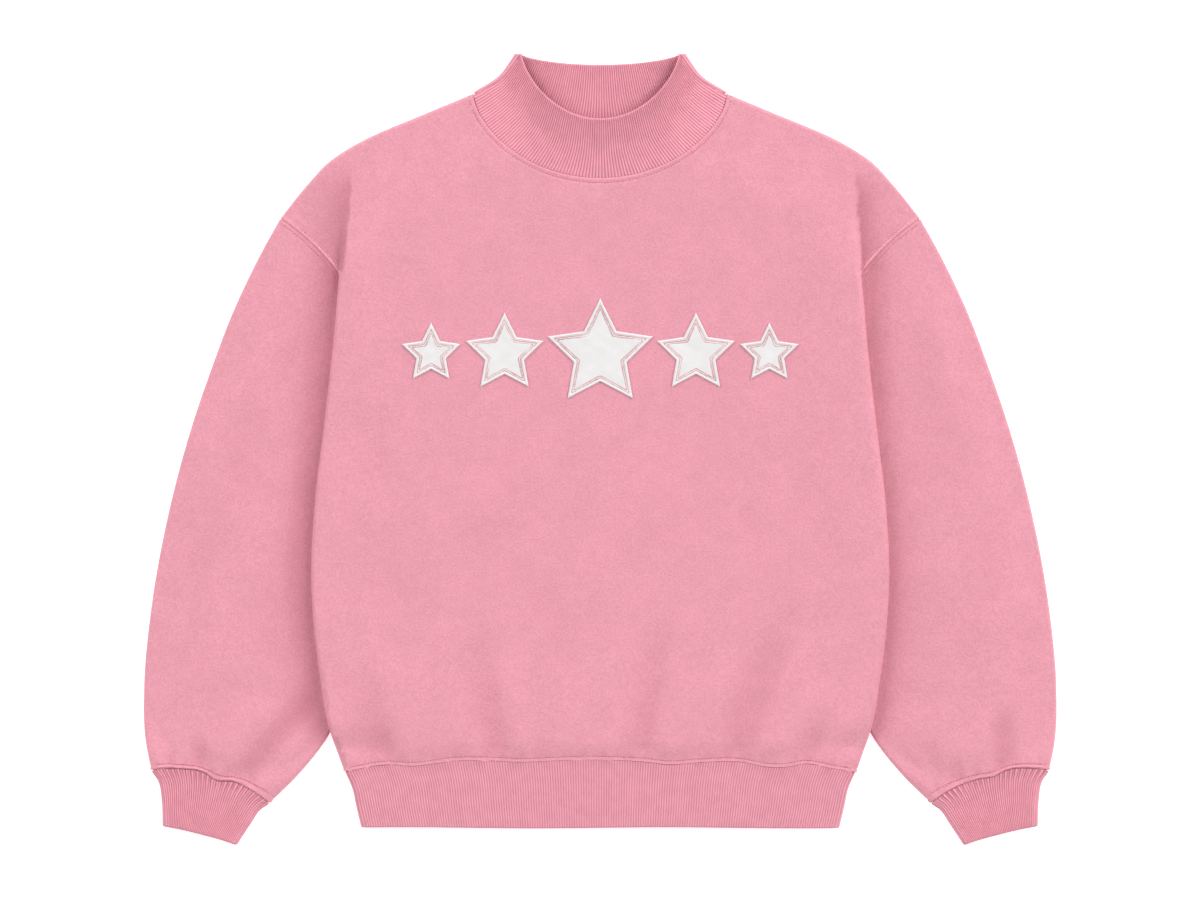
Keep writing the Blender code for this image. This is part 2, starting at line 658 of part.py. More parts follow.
def sleeve():
    """A sleeve: two layers joined at the outer edge, and a closed tube below the underarm."""
    low = CLOTH / 2 + 2.0 * SLEEVE_FOLD
    rows = []
    open_rows = ARMHOLE_ROWS[::-1] + FOLD_ROWS[::-1]
    open_rows[0] = SLEEVE_TOP
    for y in open_rows:
        outer = np.array([float(reach(SLEEVE_OUTER, y)), y])
        rows.append(open_section(outer, armhole_point(y, -1), low))
    for share in np.linspace(0.0, 1.0, SLEEVE_TUBE_ROWS + 1):
        outer_y = mix(TUBE_TOP, SLEEVE_OUTER[-1].y, share)
        inner_y = mix(TUBE_TOP, SLEEVE_INNER[-1].y, share)
        outer = (float(reach(SLEEVE_OUTER, outer_y)), outer_y)
        inner = (float(reach(SLEEVE_INNER, inner_y)), inner_y)
        bow = CUFF_ROWS[0].bow * share ** BOW_POWER
        fold_turn, height_turn = (float(ease((share - at) / (1.0 - at))) for at in END_RUNS)
        radius = mix(SLEEVE_FOLD, SLEEVE_END_FOLD, fold_turn)
        rise = 2.0 * (radius - SLEEVE_FOLD)

        def top(x, y, rise=rise, height_turn=height_turn):
            free = float(arm_height(x, y))
            end = CLOTH / 2 + 2.0 * SLEEVE_END_FOLD + PUFF
            return mix(max(free, low + rise), end, height_turn)

        rows.append(tube_ring(outer, inner, bow, radius, top, CLOTH / 2,
                              SLEEVE_TOP_COLUMNS, SLEEVE_BOTTOM_COLUMNS))
    rows = np.array(rows)
    inner_start = ARC_STEPS + SLEEVE_TOP_COLUMNS
    inner_end = inner_start + 2 * ARC_STEPS

    def missing(row, column):
        return row < len(open_rows) and inner_start <= column < inner_end

    return wall(rows, CLOTH, closed=True, missing=missing)


def open_section(outer, inner, low):
    """A section above the underarm, whose inner ends lie at the armhole seam."""
    width = np.linalg.norm(inner - outer)
    along = (inner - outer) / width
    half = CLOTH / 2
    edge = half + min(SLEEVE_FOLD, width / 3.0)
    axis = half + SLEEVE_FOLD

    def place(from_outer, height):
        spot = outer + along * from_outer
        return [spot[0], spot[1], height]

    angles = np.radians(np.linspace(0.0, 90.0, ARC_STEPS + 1))
    ring = [place(edge - (edge - half) * np.cos(a), axis + SLEEVE_FOLD * np.sin(a)) for a in angles]
    for share in np.linspace(0.0, 1.0, SLEEVE_TOP_COLUMNS + 1)[1:]:
        spot = outer + along * mix(edge, width, share)
        height = max(float(arm_height(spot[0], spot[1])), low)
        ring.append([spot[0], spot[1], height])
    ring += [list(ring[-1]) for _ in range(2 * ARC_STEPS - 1)]
    for share in np.linspace(1.0, 0.0, SLEEVE_BOTTOM_COLUMNS + 1)[:-1]:
        ring.append(place(mix(edge, width, share), half))
    for a in angles[:0:-1]:
        ring.append(place(edge - (edge - half) * np.cos(a), axis - SLEEVE_FOLD * np.sin(a)))
    return ring


def cuff():
    """A cuff of rib, a short flattened tube."""
    radius = (CUFF_SPACE + RIB) / 2
    flat_top = RIB / 2 + 2.0 * radius
    rows = []
    for row in CUFF_ROWS:
        rows.append(tube_ring((row.outer_x, row.outer_y - 2 * SEAM),
                              (row.inner_x, row.inner_y - 2 * SEAM),
                              row.bow, radius, lambda x, y: flat_top, RIB / 2,
                              SLEEVE_TOP_COLUMNS, SLEEVE_BOTTOM_COLUMNS))
    return wall(np.array(rows), RIB, closed=True)


# ---------------------------------------------------------------- ribs of hem and neck

def hem_rib():
    """The hem rib, a flattened tube right across the body."""
    radius = (HEM_SPACE + RIB) / 2
    rows = []
    for share in HEM_SHARES:
        side = float(reach(HEM_SIDE, mix(HEM_SIDE[0].y, HEM_SIDE[-1].y, share)))
        half = side - RIB / 2 - radius
        arc = np.radians(np.linspace(90.0, -90.0, 2 * ARC_STEPS + 1))
        right = [(half + radius * np.cos(a), radius * np.sin(a)) for a in arc]
        front = [(x, radius) for x in np.linspace(-half, half, HEM_FRONT_COLUMNS + 1)[1:-1]]
        back = [(x, -radius) for x in np.linspace(half, -half, HEM_BACK_COLUMNS + 1)[1:-1]]
        left = [(-x, -z) for x, z in right]
        ring = []
        for x, z in front + right + back + left:
            y = mix(float(hem_seam(x)) - SEAM, HEM_BOTTOM, share)
            ring.append([x, y, RIB / 2 + radius + z])
        rows.append(ring)
    return wall(np.array(rows), RIB, closed=True)


def collar():
    """The collar, a short standing tube pressed flat, its front edge curved below the back."""
    side_heights = [edge.y for edge in COLLAR_SIDE]
    top_fold = (NECK_SPACE + RIB) / 2 * COLLAR_CROWN
    front_base = neck_line(NECK_COLUMNS, NECK_FRONT, FRONT_NECK_POWER)
    back_base = neck_line(BACK_NECK_COLUMNS, NECK_BACK, BACK_NECK_POWER)
    rows = []
    for share in np.linspace(0.0, 1.0, COLLAR_LEVELS + 1):
        side_y = mix(side_heights[0], side_heights[-1], share)
        side_x = float(reach(COLLAR_SIDE, side_y)) - RIB / 2
        fold = mix(SHOULDER_FOLD - (RIB - CLOTH) / 2, top_fold, share)
        front_y = mix(NECK_FRONT - SEAM, COLLAR_FRONT, share)
        back_y = mix(NECK_BACK - SEAM, COLLAR_BACK, share)
        power = mix(FRONT_NECK_POWER, COLLAR_EDGE_POWER, share)
        edge_x = side_x - fold
        spread = min(1.0, share * COLLAR_SPREAD)
        angles = np.linspace(0.0, np.pi / 2, NECK_COLUMNS + 1)
        front = []
        for column, angle in enumerate(angles[:-1]):
            x = edge_x * np.sin(angle)
            y = mix(front_y, side_y, 1.0 - np.cos(angle) ** power)
            seam_x, seam_y = front_base[column]
            level = float(body_height(seam_x, seam_y))
            crown = mix(RIB / 2 + 2 * fold, RIB * 1.5 + NECK_SPACE,
                        np.cos(angle) ** COLLAR_CROWN_POWER)
            front.append([mix(seam_x, x, spread), mix(seam_y, y, spread),
                          mix(level, crown, float(ease(share)))])
        arc = []
        for turn in np.radians(np.linspace(90.0, -90.0, 2 * ARC_STEPS + 1)):
            arc.append([edge_x + fold * np.cos(turn), side_y,
                        RIB / 2 + fold + fold * np.sin(turn)])
        if share == 0.0:
            for point in arc:
                point[1] += SEAM + NECK_SIDE_GAP
        back = []
        for column in range(BACK_NECK_COLUMNS - 1, -1, -1):
            angle = column * np.pi / 2 / BACK_NECK_COLUMNS
            x = mix(back_base[column][0], edge_x * np.sin(angle), share)
            y = mix(back_y, side_y, 1.0 - np.cos(angle) ** BACK_NECK_POWER)
            back.append([x, mix(back_base[column][1], y, spread), RIB / 2])
        half = front + arc + back
        other = [[-x, y, z] for x, y, z in half[-2:0:-1]]
        rows.append(half + other)
    return wall(np.array(rows), RIB, closed=True)


# ---------------------------------------------------------------- stars

def star(motif):
    """A star lying on the chest, made from the front's own points, moved out."""
    lift = CLOTH / 2 + SEAM + APPLIQUE / 2
    centre = np.array([motif.x, STAR_HEIGHT])
    rows = []
    for share in (0.0, 1.0):
        ring = []
        for corner in range(10):
            radius = motif.radius * (1.0 if corner % 2 == 0 else STAR_WAIST)
            radius *= mix(STAR_CORE, 1.0, share)
            turn = np.pi / 2 - corner * np.pi / 5
            x, y = centre + radius * np.array([np.cos(turn), np.sin(turn)])
            ring.append([x, y, float(body_height(x, y)) + lift])
        rows.append(ring)
    return star_solid(np.array(rows))


def star_solid(rows):
    """Closed thin solid of a star, from its rings of points, innermost first."""
    rings, corners = rows.shape[:2]
    top = rows.reshape(-1, 3) + np.array([0.0, 0.0, APPLIQUE / 2])
    bottom = rows.reshape(-1, 3) - np.array([0.0, 0.0, APPLIQUE / 2])
    count = len(top)
    triangles = []
    for ring in range(rings - 1):
        for corner in range(corners):
            after = (corner + 1) % corners
            a, b = ring * corners + corner, ring * corners + after
            c, d = (ring + 1) * corners + after, (ring + 1) * corners + corner
            triangles += [(a, b, c), (a, c, d)]
            triangles += [(count + c, count + b, count + a), (count + d, count + c, count + a)]
    for corner in range(1, corners - 1):
        triangles += [(0, corner + 1, corner), (count, count + corner, count + corner + 1)]
    rim = (rings - 1) * corners
    for corner in range(corners):
        a, b = rim + corner, rim + (corner + 1) % corners
        triangles += [(a, b, count + b), (a, count + b, count + a)]
    return np.concatenate([top, bottom]), triangles


# ---------------------------------------------------------------- the garment

def clear_scene():
    """Remove every object from the scene."""
    for item in list(bpy.data.objects):
        bpy.data.objects.remove(item, do_unlink=True)


def main():
    """Build the garment and hang its sub-parts under one empty."""
    clear_scene()
    garment = bpy.data.objects.new("sweatshirt", None)
    bpy.context.collection.objects.link(garment)
    fleece = finish("pink fleece", FLEECE_COLOUR, 0.95)
    rib = finish("pink rib", RIB_COLOUR, 0.95)
    twill = finish("white twill", TWILL_COLOUR, 0.8)

    floor_origin = np.array([0.0, 0.0, 0.0])
    neck_origin = np.array([0.0, NECK_FRONT, 0.0])
    hem_origin = np.array([0.0, HEM_SEAM, 0.0])
    add_object("front_panel", *front_panel(), floor_origin, fleece, garment)
    add_object("back_panel", *back_panel(), floor_origin, fleece, garment)
    add_object("collar", *collar(), neck_origin, rib, garment)
    add_object("hem_rib", *hem_rib(), hem_origin, rib, garment)

    left_sleeve = sleeve()
    left_cuff = cuff()
    armhole_origin = np.array([ARMHOLE[0].x, ARMHOLE[0].y, 0.0])
    cuff_origin = np.array([CUFF_ROWS[0].outer_x, CUFF_ROWS[0].outer_y, 0.0])
    across = np.array([-1.0, 1.0, 1.0])
    add_object("sleeve_left", *left_sleeve, armhole_origin, fleece, garment)
    add_object("sleeve_right", *mirrored(*left_sleeve), armhole_origin * across, fleece, garment)
    add_object("cuff_left", *left_cuff, cuff_origin, rib, garment)
    add_object("cuff_right", *mirrored(*left_cuff), cuff_origin * across, rib, garment)
    for motif in STARS:
        origin = np.array([motif.x, STAR_HEIGHT, 0.0])
        add_object(motif.name, *star(motif), origin, twill, garment)


main()
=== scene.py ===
"""Looks of the mock neck sweatshirt: brushed fleece, knitted ribs, seams and twill stars.

The garment lies flat on its back with both sleeves folded down beside the body. The tables are
in millimetres. X runs across the chest, Y runs up to the neck, and Z is the height over the
surface that the garment lies on. Left and right are the wearer's, so the left sleeve is at +X.
"""
from collections import namedtuple
from functools import partial
from itertools import chain

import bpy
import mathutils
import numpy as np
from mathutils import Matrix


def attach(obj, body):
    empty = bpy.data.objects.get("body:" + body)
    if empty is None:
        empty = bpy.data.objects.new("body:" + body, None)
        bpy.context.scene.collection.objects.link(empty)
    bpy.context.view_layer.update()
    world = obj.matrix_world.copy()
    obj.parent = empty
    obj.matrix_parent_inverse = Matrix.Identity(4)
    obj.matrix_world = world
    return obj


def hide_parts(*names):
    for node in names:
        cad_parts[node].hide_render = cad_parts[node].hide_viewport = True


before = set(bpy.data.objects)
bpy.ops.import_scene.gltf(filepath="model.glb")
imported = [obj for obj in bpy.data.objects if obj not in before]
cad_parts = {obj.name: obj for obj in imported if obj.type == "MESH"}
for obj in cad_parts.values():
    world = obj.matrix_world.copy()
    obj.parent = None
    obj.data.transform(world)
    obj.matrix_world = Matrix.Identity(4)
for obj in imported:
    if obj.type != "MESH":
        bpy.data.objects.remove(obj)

bl_info = {
    "name": "Mock Neck Sweatshirt",
    "version": (1, 0, 0),
    "blender": (4, 5, 0),
    "location": "View3D > Sidebar > Sweatshirt",
    "description": "Builds the cloth, ribs, seams and stars of a mock neck sweatshirt laid flat",
    "category": "Object",
}

MM = 0.001
MIRROR = np.array([-1.0, 1.0, 1.0])

# ---- sizes shared with the solids

CLOTH = 2.4  # brushed fleece
RIB = 2.8  # rib knit, folded double
APPLIQUE = 0.9  # sewn-on twill
SEAM = 0.3  # gap between pieces that are sewn together
PANEL_CLEAR = 0.45 * SEAM  # from the armhole's line to the edges of the panels
SLEEVE_CLEAR = 0.55 * SEAM

BODY_SPACE = 6.0  # clear height between front and back at the middle of the body
SLEEVE_SPACE = 6.6
HEM_SPACE = 4.8
CUFF_SPACE = 4.6
NECK_SPACE = 8.2

SHOULDER_FOLD = 2.0  # radius of the cloth at the shoulder seam
SLEEVE_FOLD = 1.8
SLEEVE_END_FOLD = 3.4
SIDE_FOLD = 2.4
SIDE_LIFT = 6.5  # how far the body's side rises to lie on the sleeve

SHOULDER_SLOPE = 80.0  # how far in from the shoulder the body reaches its full height
SIDE_SLOPE = 75.0
SLEEVE_SLOPE = 50.0
VALLEY_WIDTH = 34.0  # the low strip of a sleeve that the body lies on
VALLEY_SLOPE = 55.0
VALLEY_END = -275.0
VALLEY_FADE = 60.0
RISE = 8.0  # width of the step by which the back climbs onto the sleeve

HEM_SEAM = -279.5  # Y of the hem seam at the middle
HEM_ARCH = 9.5  # how much lower the seam is at the sides
HEM_BOTTOM = -340.2
NECK_FRONT = 244.4
NECK_BACK = 292.0
COLLAR_FRONT = 297.5
COLLAR_BACK = 346.3
FRONT_NECK_POWER = 1.24  # 1 bends the neck seam as an ellipse and 2 as a parabola
BACK_NECK_POWER = 1.4
COLLAR_EDGE_POWER = 1.36
COLLAR_SPREAD = 2.5  # how fast the collar leaves the line of its seam
UNDERARM = -14.0  # Y where the side seam starts
SLEEVE_LENGTH = 303.0  # of the closed part, down to the cuff
FOLD_END = 158.0  # Y where the body's side fold meets the armhole seam
ARMHOLE_TOP = 207.4  # Y where the panels' edges at the armhole end
CREASE_SHARE = 0.615  # share of the shoulder seam between the neck and the crease at the side

GATHER_SWELL = 1.4  # growth of the side fold's radius down to the hem
GATHER_START = -250.0
GATHER_RUN = 35.0
LIFT_START = 16.0  # how far before the sleeve's edge the body's side starts to rise
LIFT_RUN = 24.0
BLOUSE = 1.5  # extra height of the cloth that is gathered over the hem
BLOUSE_RUN = 18.0
BLOUSE_TOP = -175.0
BLOUSE_FADE = 75.0
HEM_DIP = 0.4  # drop to the hem seam
HEM_DIP_TOP = -262.0
HEM_DIP_RUN = 18.0
SETTLE = 3.2  # drop of the body's side from the armhole up to the shoulder
SETTLE_RUN = 100.0
PUFF = 1.0  # extra height of a sleeve over its cuff
PUFF_TOP = -215.0
PUFF_RUN = 50.0
STEP_WIDTH = 4.0  # width of the step at the body's side, over the armhole
STEP_SPREAD = 14.0  # growth of that width up to the shoulder
STEP_RUN = 95.0
ARMHOLE_BLEND = 62.0  # distance over which the front comes down to the armhole seam
TUCK_RUN = 22.0  # length over which the front's side starts to tuck in under the fold
TUCK_GAP = 0.5
TUCK_TURN = 88.0  # degrees below level that the tucked cloth turns
FLAP_CLEAR = 14.0  # from the body's side fold to the start of the back's flap
FLAP_GAP = 1.0
FLAP_JOIN = 5.0  # length over which the back's edge runs out to the armhole seam
COLLAR_CROWN = 0.8  # size of the collar's side fold at its edge, over half its clear height
COLLAR_CROWN_POWER = 0.7
CUFF_BOW = 9.7  # how far the end of a sleeve bows down at its middle

Edge = namedtuple("Edge", "y x")
Spot = namedtuple("Spot", "x y")
Fold = namedtuple("Fold", "x_seam x_top y_top width depth")
Crease = namedtuple("Crease", "x0 y0 x1 y1 width depth")
CuffRow = namedtuple("CuffRow", "outer_x outer_y inner_x inner_y bow")
Arm = namedtuple("Arm", "side creases phase pleats")
Star = namedtuple("Star", "name x radius")
Cut = namedtuple("Cut", "width length area")
Columns = namedtuple("Columns", "arc top bottom")
Sun = namedtuple("Sun", "name aim power softness")

BODY_SIDE = [
    Edge(-288.0, 230.5), Edge(-253.0, 243.0), Edge(-200.0, 252.5), Edge(-115.0, 259.8),
    Edge(-40.0, 255.8), Edge(25.0, 248.0), Edge(85.0, 241.2), Edge(158.0, 234.5),
    Edge(215.0, 229.0), Edge(275.0, 226.0),
]
SHOULDER = [
    Edge(320.0, 114.3), Edge(301.0, 160.2), Edge(280.0, 209.5), Edge(260.6, 241.7),
    Edge(240.0, 261.7), Edge(208.0, 287.5),
]
ARMHOLE = [
    Edge(208.0, 287.5), Edge(192.0, 267.0), Edge(175.0, 249.5), Edge(158.0, 235.5),
    Edge(120.0, 230.0), Edge(75.0, 229.0), Edge(30.0, 229.0), Edge(2.0, 225.8),
]
SLEEVE_OUTER = [
    Edge(208.0, 287.5), Edge(179.6, 303.3), Edge(125.6, 329.4), Edge(71.6, 350.1),
    Edge(17.6, 368.4), Edge(-63.5, 389.7), Edge(-144.5, 404.1), Edge(-212.0, 410.3),
    Edge(-262.0, 409.0), Edge(-288.5, 404.0),
]
SLEEVE_INNER = [
    Edge(275.0, 220.0), Edge(158.0, 228.0), Edge(60.0, 227.0), Edge(0.0, 226.0),
    Edge(-60.0, 224.0), Edge(-150.0, 222.0), Edge(-215.0, 230.0), Edge(-253.4, 242.3),
    Edge(-292.0, 271.0), Edge(-318.2, 297.2),
]
HEM_SIDE = [
    Edge(-288.5, 229.5), Edge(-306.0, 222.5), Edge(-320.0, 219.6), Edge(-340.2, 214.7),
]
COLLAR_SIDE = [
    Edge(320.0, 114.3), Edge(333.5, 92.9), Edge(347.0, 82.0), Edge(355.6, 76.4),
]
CUFF_ROWS = [
    CuffRow(403.6, -288.6, 297.6, -318.2, CUFF_BOW),
    CuffRow(396.6, -299.5, 306.6, -324.5, 6.0),
    CuffRow(393.9, -318.0, 315.0, -337.0, 3.2),
    CuffRow(393.3, -338.8, 327.3, -355.7, 1.6),
]

# ---- what the solids leave out

# The hem seam at the front, which wanders a little where the ribs gather the fleece.
HEM_LINE = [
    Spot(-229.7, -289.6), Spot(-189.2, -283.4), Spot(-170.3, -284.6), Spot(-129.8, -279.8),
    Spot(-105.5, -279.6), Spot(-72.2, -281.0), Spot(-30.0, -279.4), Spot(-6.0, -279.0),
    Spot(41.2, -281.0), Spot(63.7, -283.3), Spot(84.0, -281.8), Spot(128.5, -281.2),
    Spot(151.0, -285.4), Spot(169.9, -285.2), Spot(182.0, -282.8), Spot(208.6, -286.7),
    Spot(229.7, -290.6),
]
# Soft folds that rise from the hem seam, deep and faint ones.
FRONT_FOLDS = [
    Fold(-194.0, -214.0, -176.0, 15.0, 2.9), Fold(-128.0, -122.0, -232.0, 9.0, 0.9),
    Fold(-90.0, -116.0, -128.0, 14.0, 2.7), Fold(-52.0, -40.0, -226.0, 9.0, 0.8),
    Fold(-6.0, 4.0, -222.0, 8.0, 0.8), Fold(37.0, 64.0, -118.0, 13.0, 2.7),
    Fold(88.0, 104.0, -214.0, 9.0, 0.9), Fold(124.0, 184.0, -100.0, 18.0, 3.1),
    Fold(186.0, 208.0, -222.0, 12.0, 2.2),
]
BACK_FOLDS = [
    Fold(-170.0, -190.0, -190.0, 13.0, 1.2), Fold(-70.0, -84.0, -150.0, 13.0, 1.4),
    Fold(22.0, 30.0, -190.0, 12.0, 1.0), Fold(112.0, 140.0, -140.0, 15.0, 1.5),
]
STEEP_SIDE = 0.75  # how much narrower a hem fold is towards +X
GENTLE_SIDE = 1.5
# Faint creases on the body and near the shoulders.
BODY_CREASES = [
    Crease(-128.0, -84.0, -84.0, -60.0, 13.0, 0.30),
    Crease(128.0, -48.0, 148.0, -84.0, 13.0, 0.35),
    Crease(-196.0, -70.0, -172.0, -150.0, 24.0, 0.25),
    Crease(190.0, -20.0, 214.0, -100.0, 24.0, 0.25),
    Crease(-214.0, 40.0, -196.0, -30.0, 20.0, 0.20),
    Crease(216.0, 60.0, 196.0, -6.0, 20.0, 0.20),
    Crease(-60.0, -120.0, -20.0, -170.0, 22.0, 0.30),
    Crease(10.0, -90.0, 70.0, -64.0, 20.0, 0.25),
]
# Creases of the sleeves, all written for the left sleeve's side.
LEFT_SLEEVE_CREASES = [
    Crease(362.0, -238.0, 364.0, -300.0, 12.0, 1.9), Crease(321.0, -276.0, 322.0, -316.0, 7.0, 1.1),
    Crease(386.0, -264.0, 389.0, -298.0, 6.0, 0.9), Crease(290.0, -262.0, 312.0, -296.0, 8.0, 0.6),
    Crease(300.0, 60.0, 316.0, -40.0, 24.0, 0.45), Crease(344.0, -60.0, 352.0, -150.0, 22.0, 0.40),
    Crease(300.0, -120.0, 330.0, -190.0, 22.0, 0.45), Crease(268.0, 110.0, 300.0, 70.0, 18.0, 0.40),
    Crease(384.0, -150.0, 380.0, -220.0, 16.0, 0.40),
]
RIGHT_SLEEVE_CREASES = [
    Crease(264.0, -226.0, 328.0, -300.0, 12.0, 2.1), Crease(361.0, -262.0, 357.0, -302.0, 8.0, 1.5),
    Crease(386.0, -270.0, 384.0, -298.0, 6.0, 0.9), Crease(344.0, -276.0, 338.0, -306.0, 6.0, 0.9),
    Crease(306.0, 50.0, 326.0, -50.0, 24.0, 0.45), Crease(346.0, -50.0, 366.0, -130.0, 22.0, 0.40),
    Crease(312.0, -110.0, 296.0, -190.0, 22.0, 0.45), Crease(270.0, 100.0, 296.0, 50.0, 18.0, 0.40),
    Crease(352.0, -180.0, 340.0, -236.0, 16.0, 0.40),
]
LEFT = Arm(1.0, LEFT_SLEEVE_CREASES, 1.9, 0.6)
RIGHT = Arm(-1.0, RIGHT_SLEEVE_CREASES, 4.4, 2.3)

STAR_HEIGHT = 86.0  # Y of the row of stars
STAR_WAIST = 0.50  # radius of a star's inner corners over that of its points
STARS = [
    Star("star_1", -152.0, 28.0), Star("star_2", -86.0, 37.0), Star("star_3", 0.0, 50.0),
    Star("star_4", 86.0, 37.0), Star("star_5", 152.0, 28.0),
]

# Size of the mesh: steps between neighbouring points, and numbers of columns.
BODY_STEP = 2.7
BACK_STEP = 4.4
SLEEVE_STEP = 2.9
NECK_COLUMNS = 48
BACK_NECK_COLUMNS = 30
SHOULDER_COLUMNS = 44
STRIP_COLUMNS = 17
FLAP_COLUMNS = 12
SLEEVE_COLUMNS = Columns(8, 66, 26)
CUFF_COLUMNS = Columns(12, 280, 190)
HEM_COLUMNS = 780
COLLAR_COLUMNS = (300, 215)  # front and back of one half
FINE = 400  # points along a curve before it is spaced out
TOP_ROWS = np.array([0.045, 0.032, 0.022, 0.014, 0.008, 0.004, 0.0015, 0.0])  # below the shoulder
RIM_ROWS = np.array([0.72, 0.48, 0.28, 0.13, 0.04, 0.0])  # on the rounded edge of a rib
STAR_RINGS = np.array([0.16, 0.12, 0.095, 0.07, 0.05, 0.032, 0.018, 0.008, 0.0])  # inwards
SHARP_ANGLE = 1.1  # radians, over which an edge is shaded as sharp

# Knitted ribs.
COLLAR_PITCH = 2.1
HEM_PITCH = 2.2
CUFF_PITCH = 1.45  # at the open end
RIB_RELIEF = 0.44  # half the height from a rib's groove to its top
RIM = 1.4  # radius of the rounded open edge
INSIDE_RELIEF = 0.6  # relief of a rib's inner face over that of its outer face
CUFF_HEIGHT = 45.0
COLLAR_HEIGHT = 50.0
HEM_HEIGHT = 60.0

STITCH_PITCH = 2.8
STITCH_AWAY = 3.4  # from a seam to its row of stitches
HEM_STITCH_END = 226.0
ARMHOLE_STITCH_TOP = 204.0
STITCH_SINK = 0.05  # how deep a stitch lies in the cloth
STITCH_LENGTH = 2.3
STITCH_WIDTH = 0.75
STITCH_HEIGHT = 0.5
NECK_STITCH_AWAY = 4.3
STAR_STITCH_ROWS = (2.9, 4.5)  # how far in from the star's edge
STAR_STITCH_PITCH = 1.9

SUNS = (Sun("right", (1.0, 0.55, 0.80), 2.10, 35.0), Sun("left", (-1.0, 0.65, 0.80), 1.55, 35.0))
SKY = 0.445  # strength of the even light from all round
FLOOR_GLOW = 0.62
FLOOR_HALF = 4.0  # metres
FLOOR_LEVEL = -0.6

ARM_EDGE = CLOTH / 2 + 2.0 * SLEEVE_FOLD  # middle of a sleeve's upper cloth at its edges


# ---- curves

def ease(t):
    """Smooth step from 0 to 1."""
    t = np.clip(t, 0.0, 1.0)
    return t * t * (3.0 - 2.0 * t)


def bump(distance_from, width):
    """Soft bell around 0."""
    return np.exp(-(distance_from / width) ** 2)


def mix(a, b, t):
    return a + (b - a) * t


def through(knots, values, at):
    """The smooth curve through the values, read at the given places."""
    knots = np.asarray(knots, float)
    values = np.asarray(values, float)
    if knots[0] > knots[-1]:
        knots = knots[::-1]
        values = values[::-1]
    slopes = np.gradient(values, knots)
    at = np.clip(at, knots[0], knots[-1])
    cell = np.clip(np.searchsorted(knots, at, side="right") - 1, 0, len(knots) - 2)
    span = knots[cell + 1] - knots[cell]
    t = (at - knots[cell]) / span
    start = (1 + 2 * t) * (1 - t) ** 2 * values[cell] + t * (1 - t) ** 2 * span * slopes[cell]
    end = t * t * (3 - 2 * t) * values[cell + 1] + t * t * (t - 1) * span * slopes[cell + 1]
    return start + end


def reach(outline, y):
    """Half width of an outline at a height."""
    return through([edge.y for edge in outline], [edge.x for edge in outline], y)


def run(points):
    """Length along a polyline up to each of its points."""
    steps = np.linalg.norm(np.diff(points, axis=0), axis=1)
    return np.concatenate([[0.0], np.cumsum(steps)])


def even(points, count):
    """Evenly spaced points along a polyline."""
    length = run(points)
    wanted = np.linspace(0.0, length[-1], count)
    return np.column_stack([np.interp(wanted, length, values) for values in points.T])


def path(outline, count):
    """Evenly spaced points along an outline, as an array of (x, y)."""
    heights = np.linspace(outline[0].y, outline[-1].y, 8 * count)
    return even(np.column_stack([reach(outline, heights), heights]), count)


def dense(stops, step):
    """The stops, with even steps between them that are no longer than the step."""
    parts = []
    for start, end in zip(stops[:-1], stops[1:]):
        count = max(int(np.ceil(abs(end - start) / step)), 1)
        parts.append(np.linspace(start, end, count, endpoint=False))
    return np.concatenate(parts + [[stops[-1]]])


def looped(ring):
    """A ring of points with its first point again at the end."""
    return np.concatenate([ring, ring[:1]])


def gap_to(line, x, y):
    """Distance in plan from points to a line of (x, y) points."""
    nearest = np.full(np.broadcast(x, y).shape, np.inf)
    for start, end in zip(line[:-1], line[1:]):
        along = end - start
        t = ((x - start[0]) * along[0] + (y - start[1]) * along[1]) / along.dot(along)
        t = np.clip(t, 0.0, 1.0)
        gap = np.hypot(x - start[0] - t * along[0], y - start[1] - t * along[1])
        nearest = np.minimum(nearest, gap)
    return nearest


def distance(line, x, y):
    """The same for a line that both halves of the body have."""
    return gap_to(line, np.abs(x), y)


def rounding(inside, radius):
    """Height of a fold's round edge over the middle of the fold, at a distance inside it."""
    return np.sqrt(np.maximum(radius ** 2 - np.maximum(radius - inside, 0.0) ** 2, 0.0))


def inset(line, amount):
    """A line of (x, y) points moved to its right-hand side."""
    along = np.gradient(line, axis=0)
    along /= np.linalg.norm(along, axis=1)[:, None]
    return line + np.reshape(amount, (-1, 1)) * np.column_stack([along[:, 1], -along[:, 0]])


SHOULDER_LINE = inset(path(SHOULDER, 40), CLOTH / 2)
ARMHOLE_LINE = path(ARMHOLE, 60)


def neck_edge(neck_y, power, count):
    """Half of a panel's neck edge, from the middle to the shoulder."""
    corner = SHOULDER_LINE[0] + np.array([-SEAM / 2, 0.0])
    angles = np.linspace(0.0, np.pi / 2, count + 1)
    return np.column_stack([
        corner[0] * np.sin(angles),
        mix(neck_y - SEAM / 2, corner[1], 1.0 - np.cos(angles) ** power)])


def neck_line(neck_y, power, count):
    """Where the collar starts: a panel's neck edge, moved off it, most at the side fold."""
    line = neck_edge(neck_y, power, count)
    clear = SEAM * (0.5 + 1.5 * np.linspace(0.0, 1.0, len(line)) ** 3)
    return inset(line, -clear)


FRONT_NECK = neck_edge(NECK_FRONT, FRONT_NECK_POWER, 60)


# ---- heights

def overlap(y):
    """How far the body's side lies over the sleeve's inner edge."""
    return reach(BODY_SIDE, y) - reach(SLEEVE_INNER, y)


def side_fold(y):
    """Radius of the cloth at the body's side, which grows where the hem gathers it."""
    return SIDE_FOLD + GATHER_SWELL * ease((GATHER_START - y) / GATHER_RUN)


def flap_height(y):
    """Middle of the back cloth where it lies on the sleeve."""
    return CLOTH / 2 + SIDE_LIFT * ease((overlap(y) + LIFT_START) / LIFT_RUN)


def side_line(y):
    """X where the front starts to turn down at the body's side."""
    return reach(BODY_SIDE, y) - CLOTH / 2 - side_fold(y)


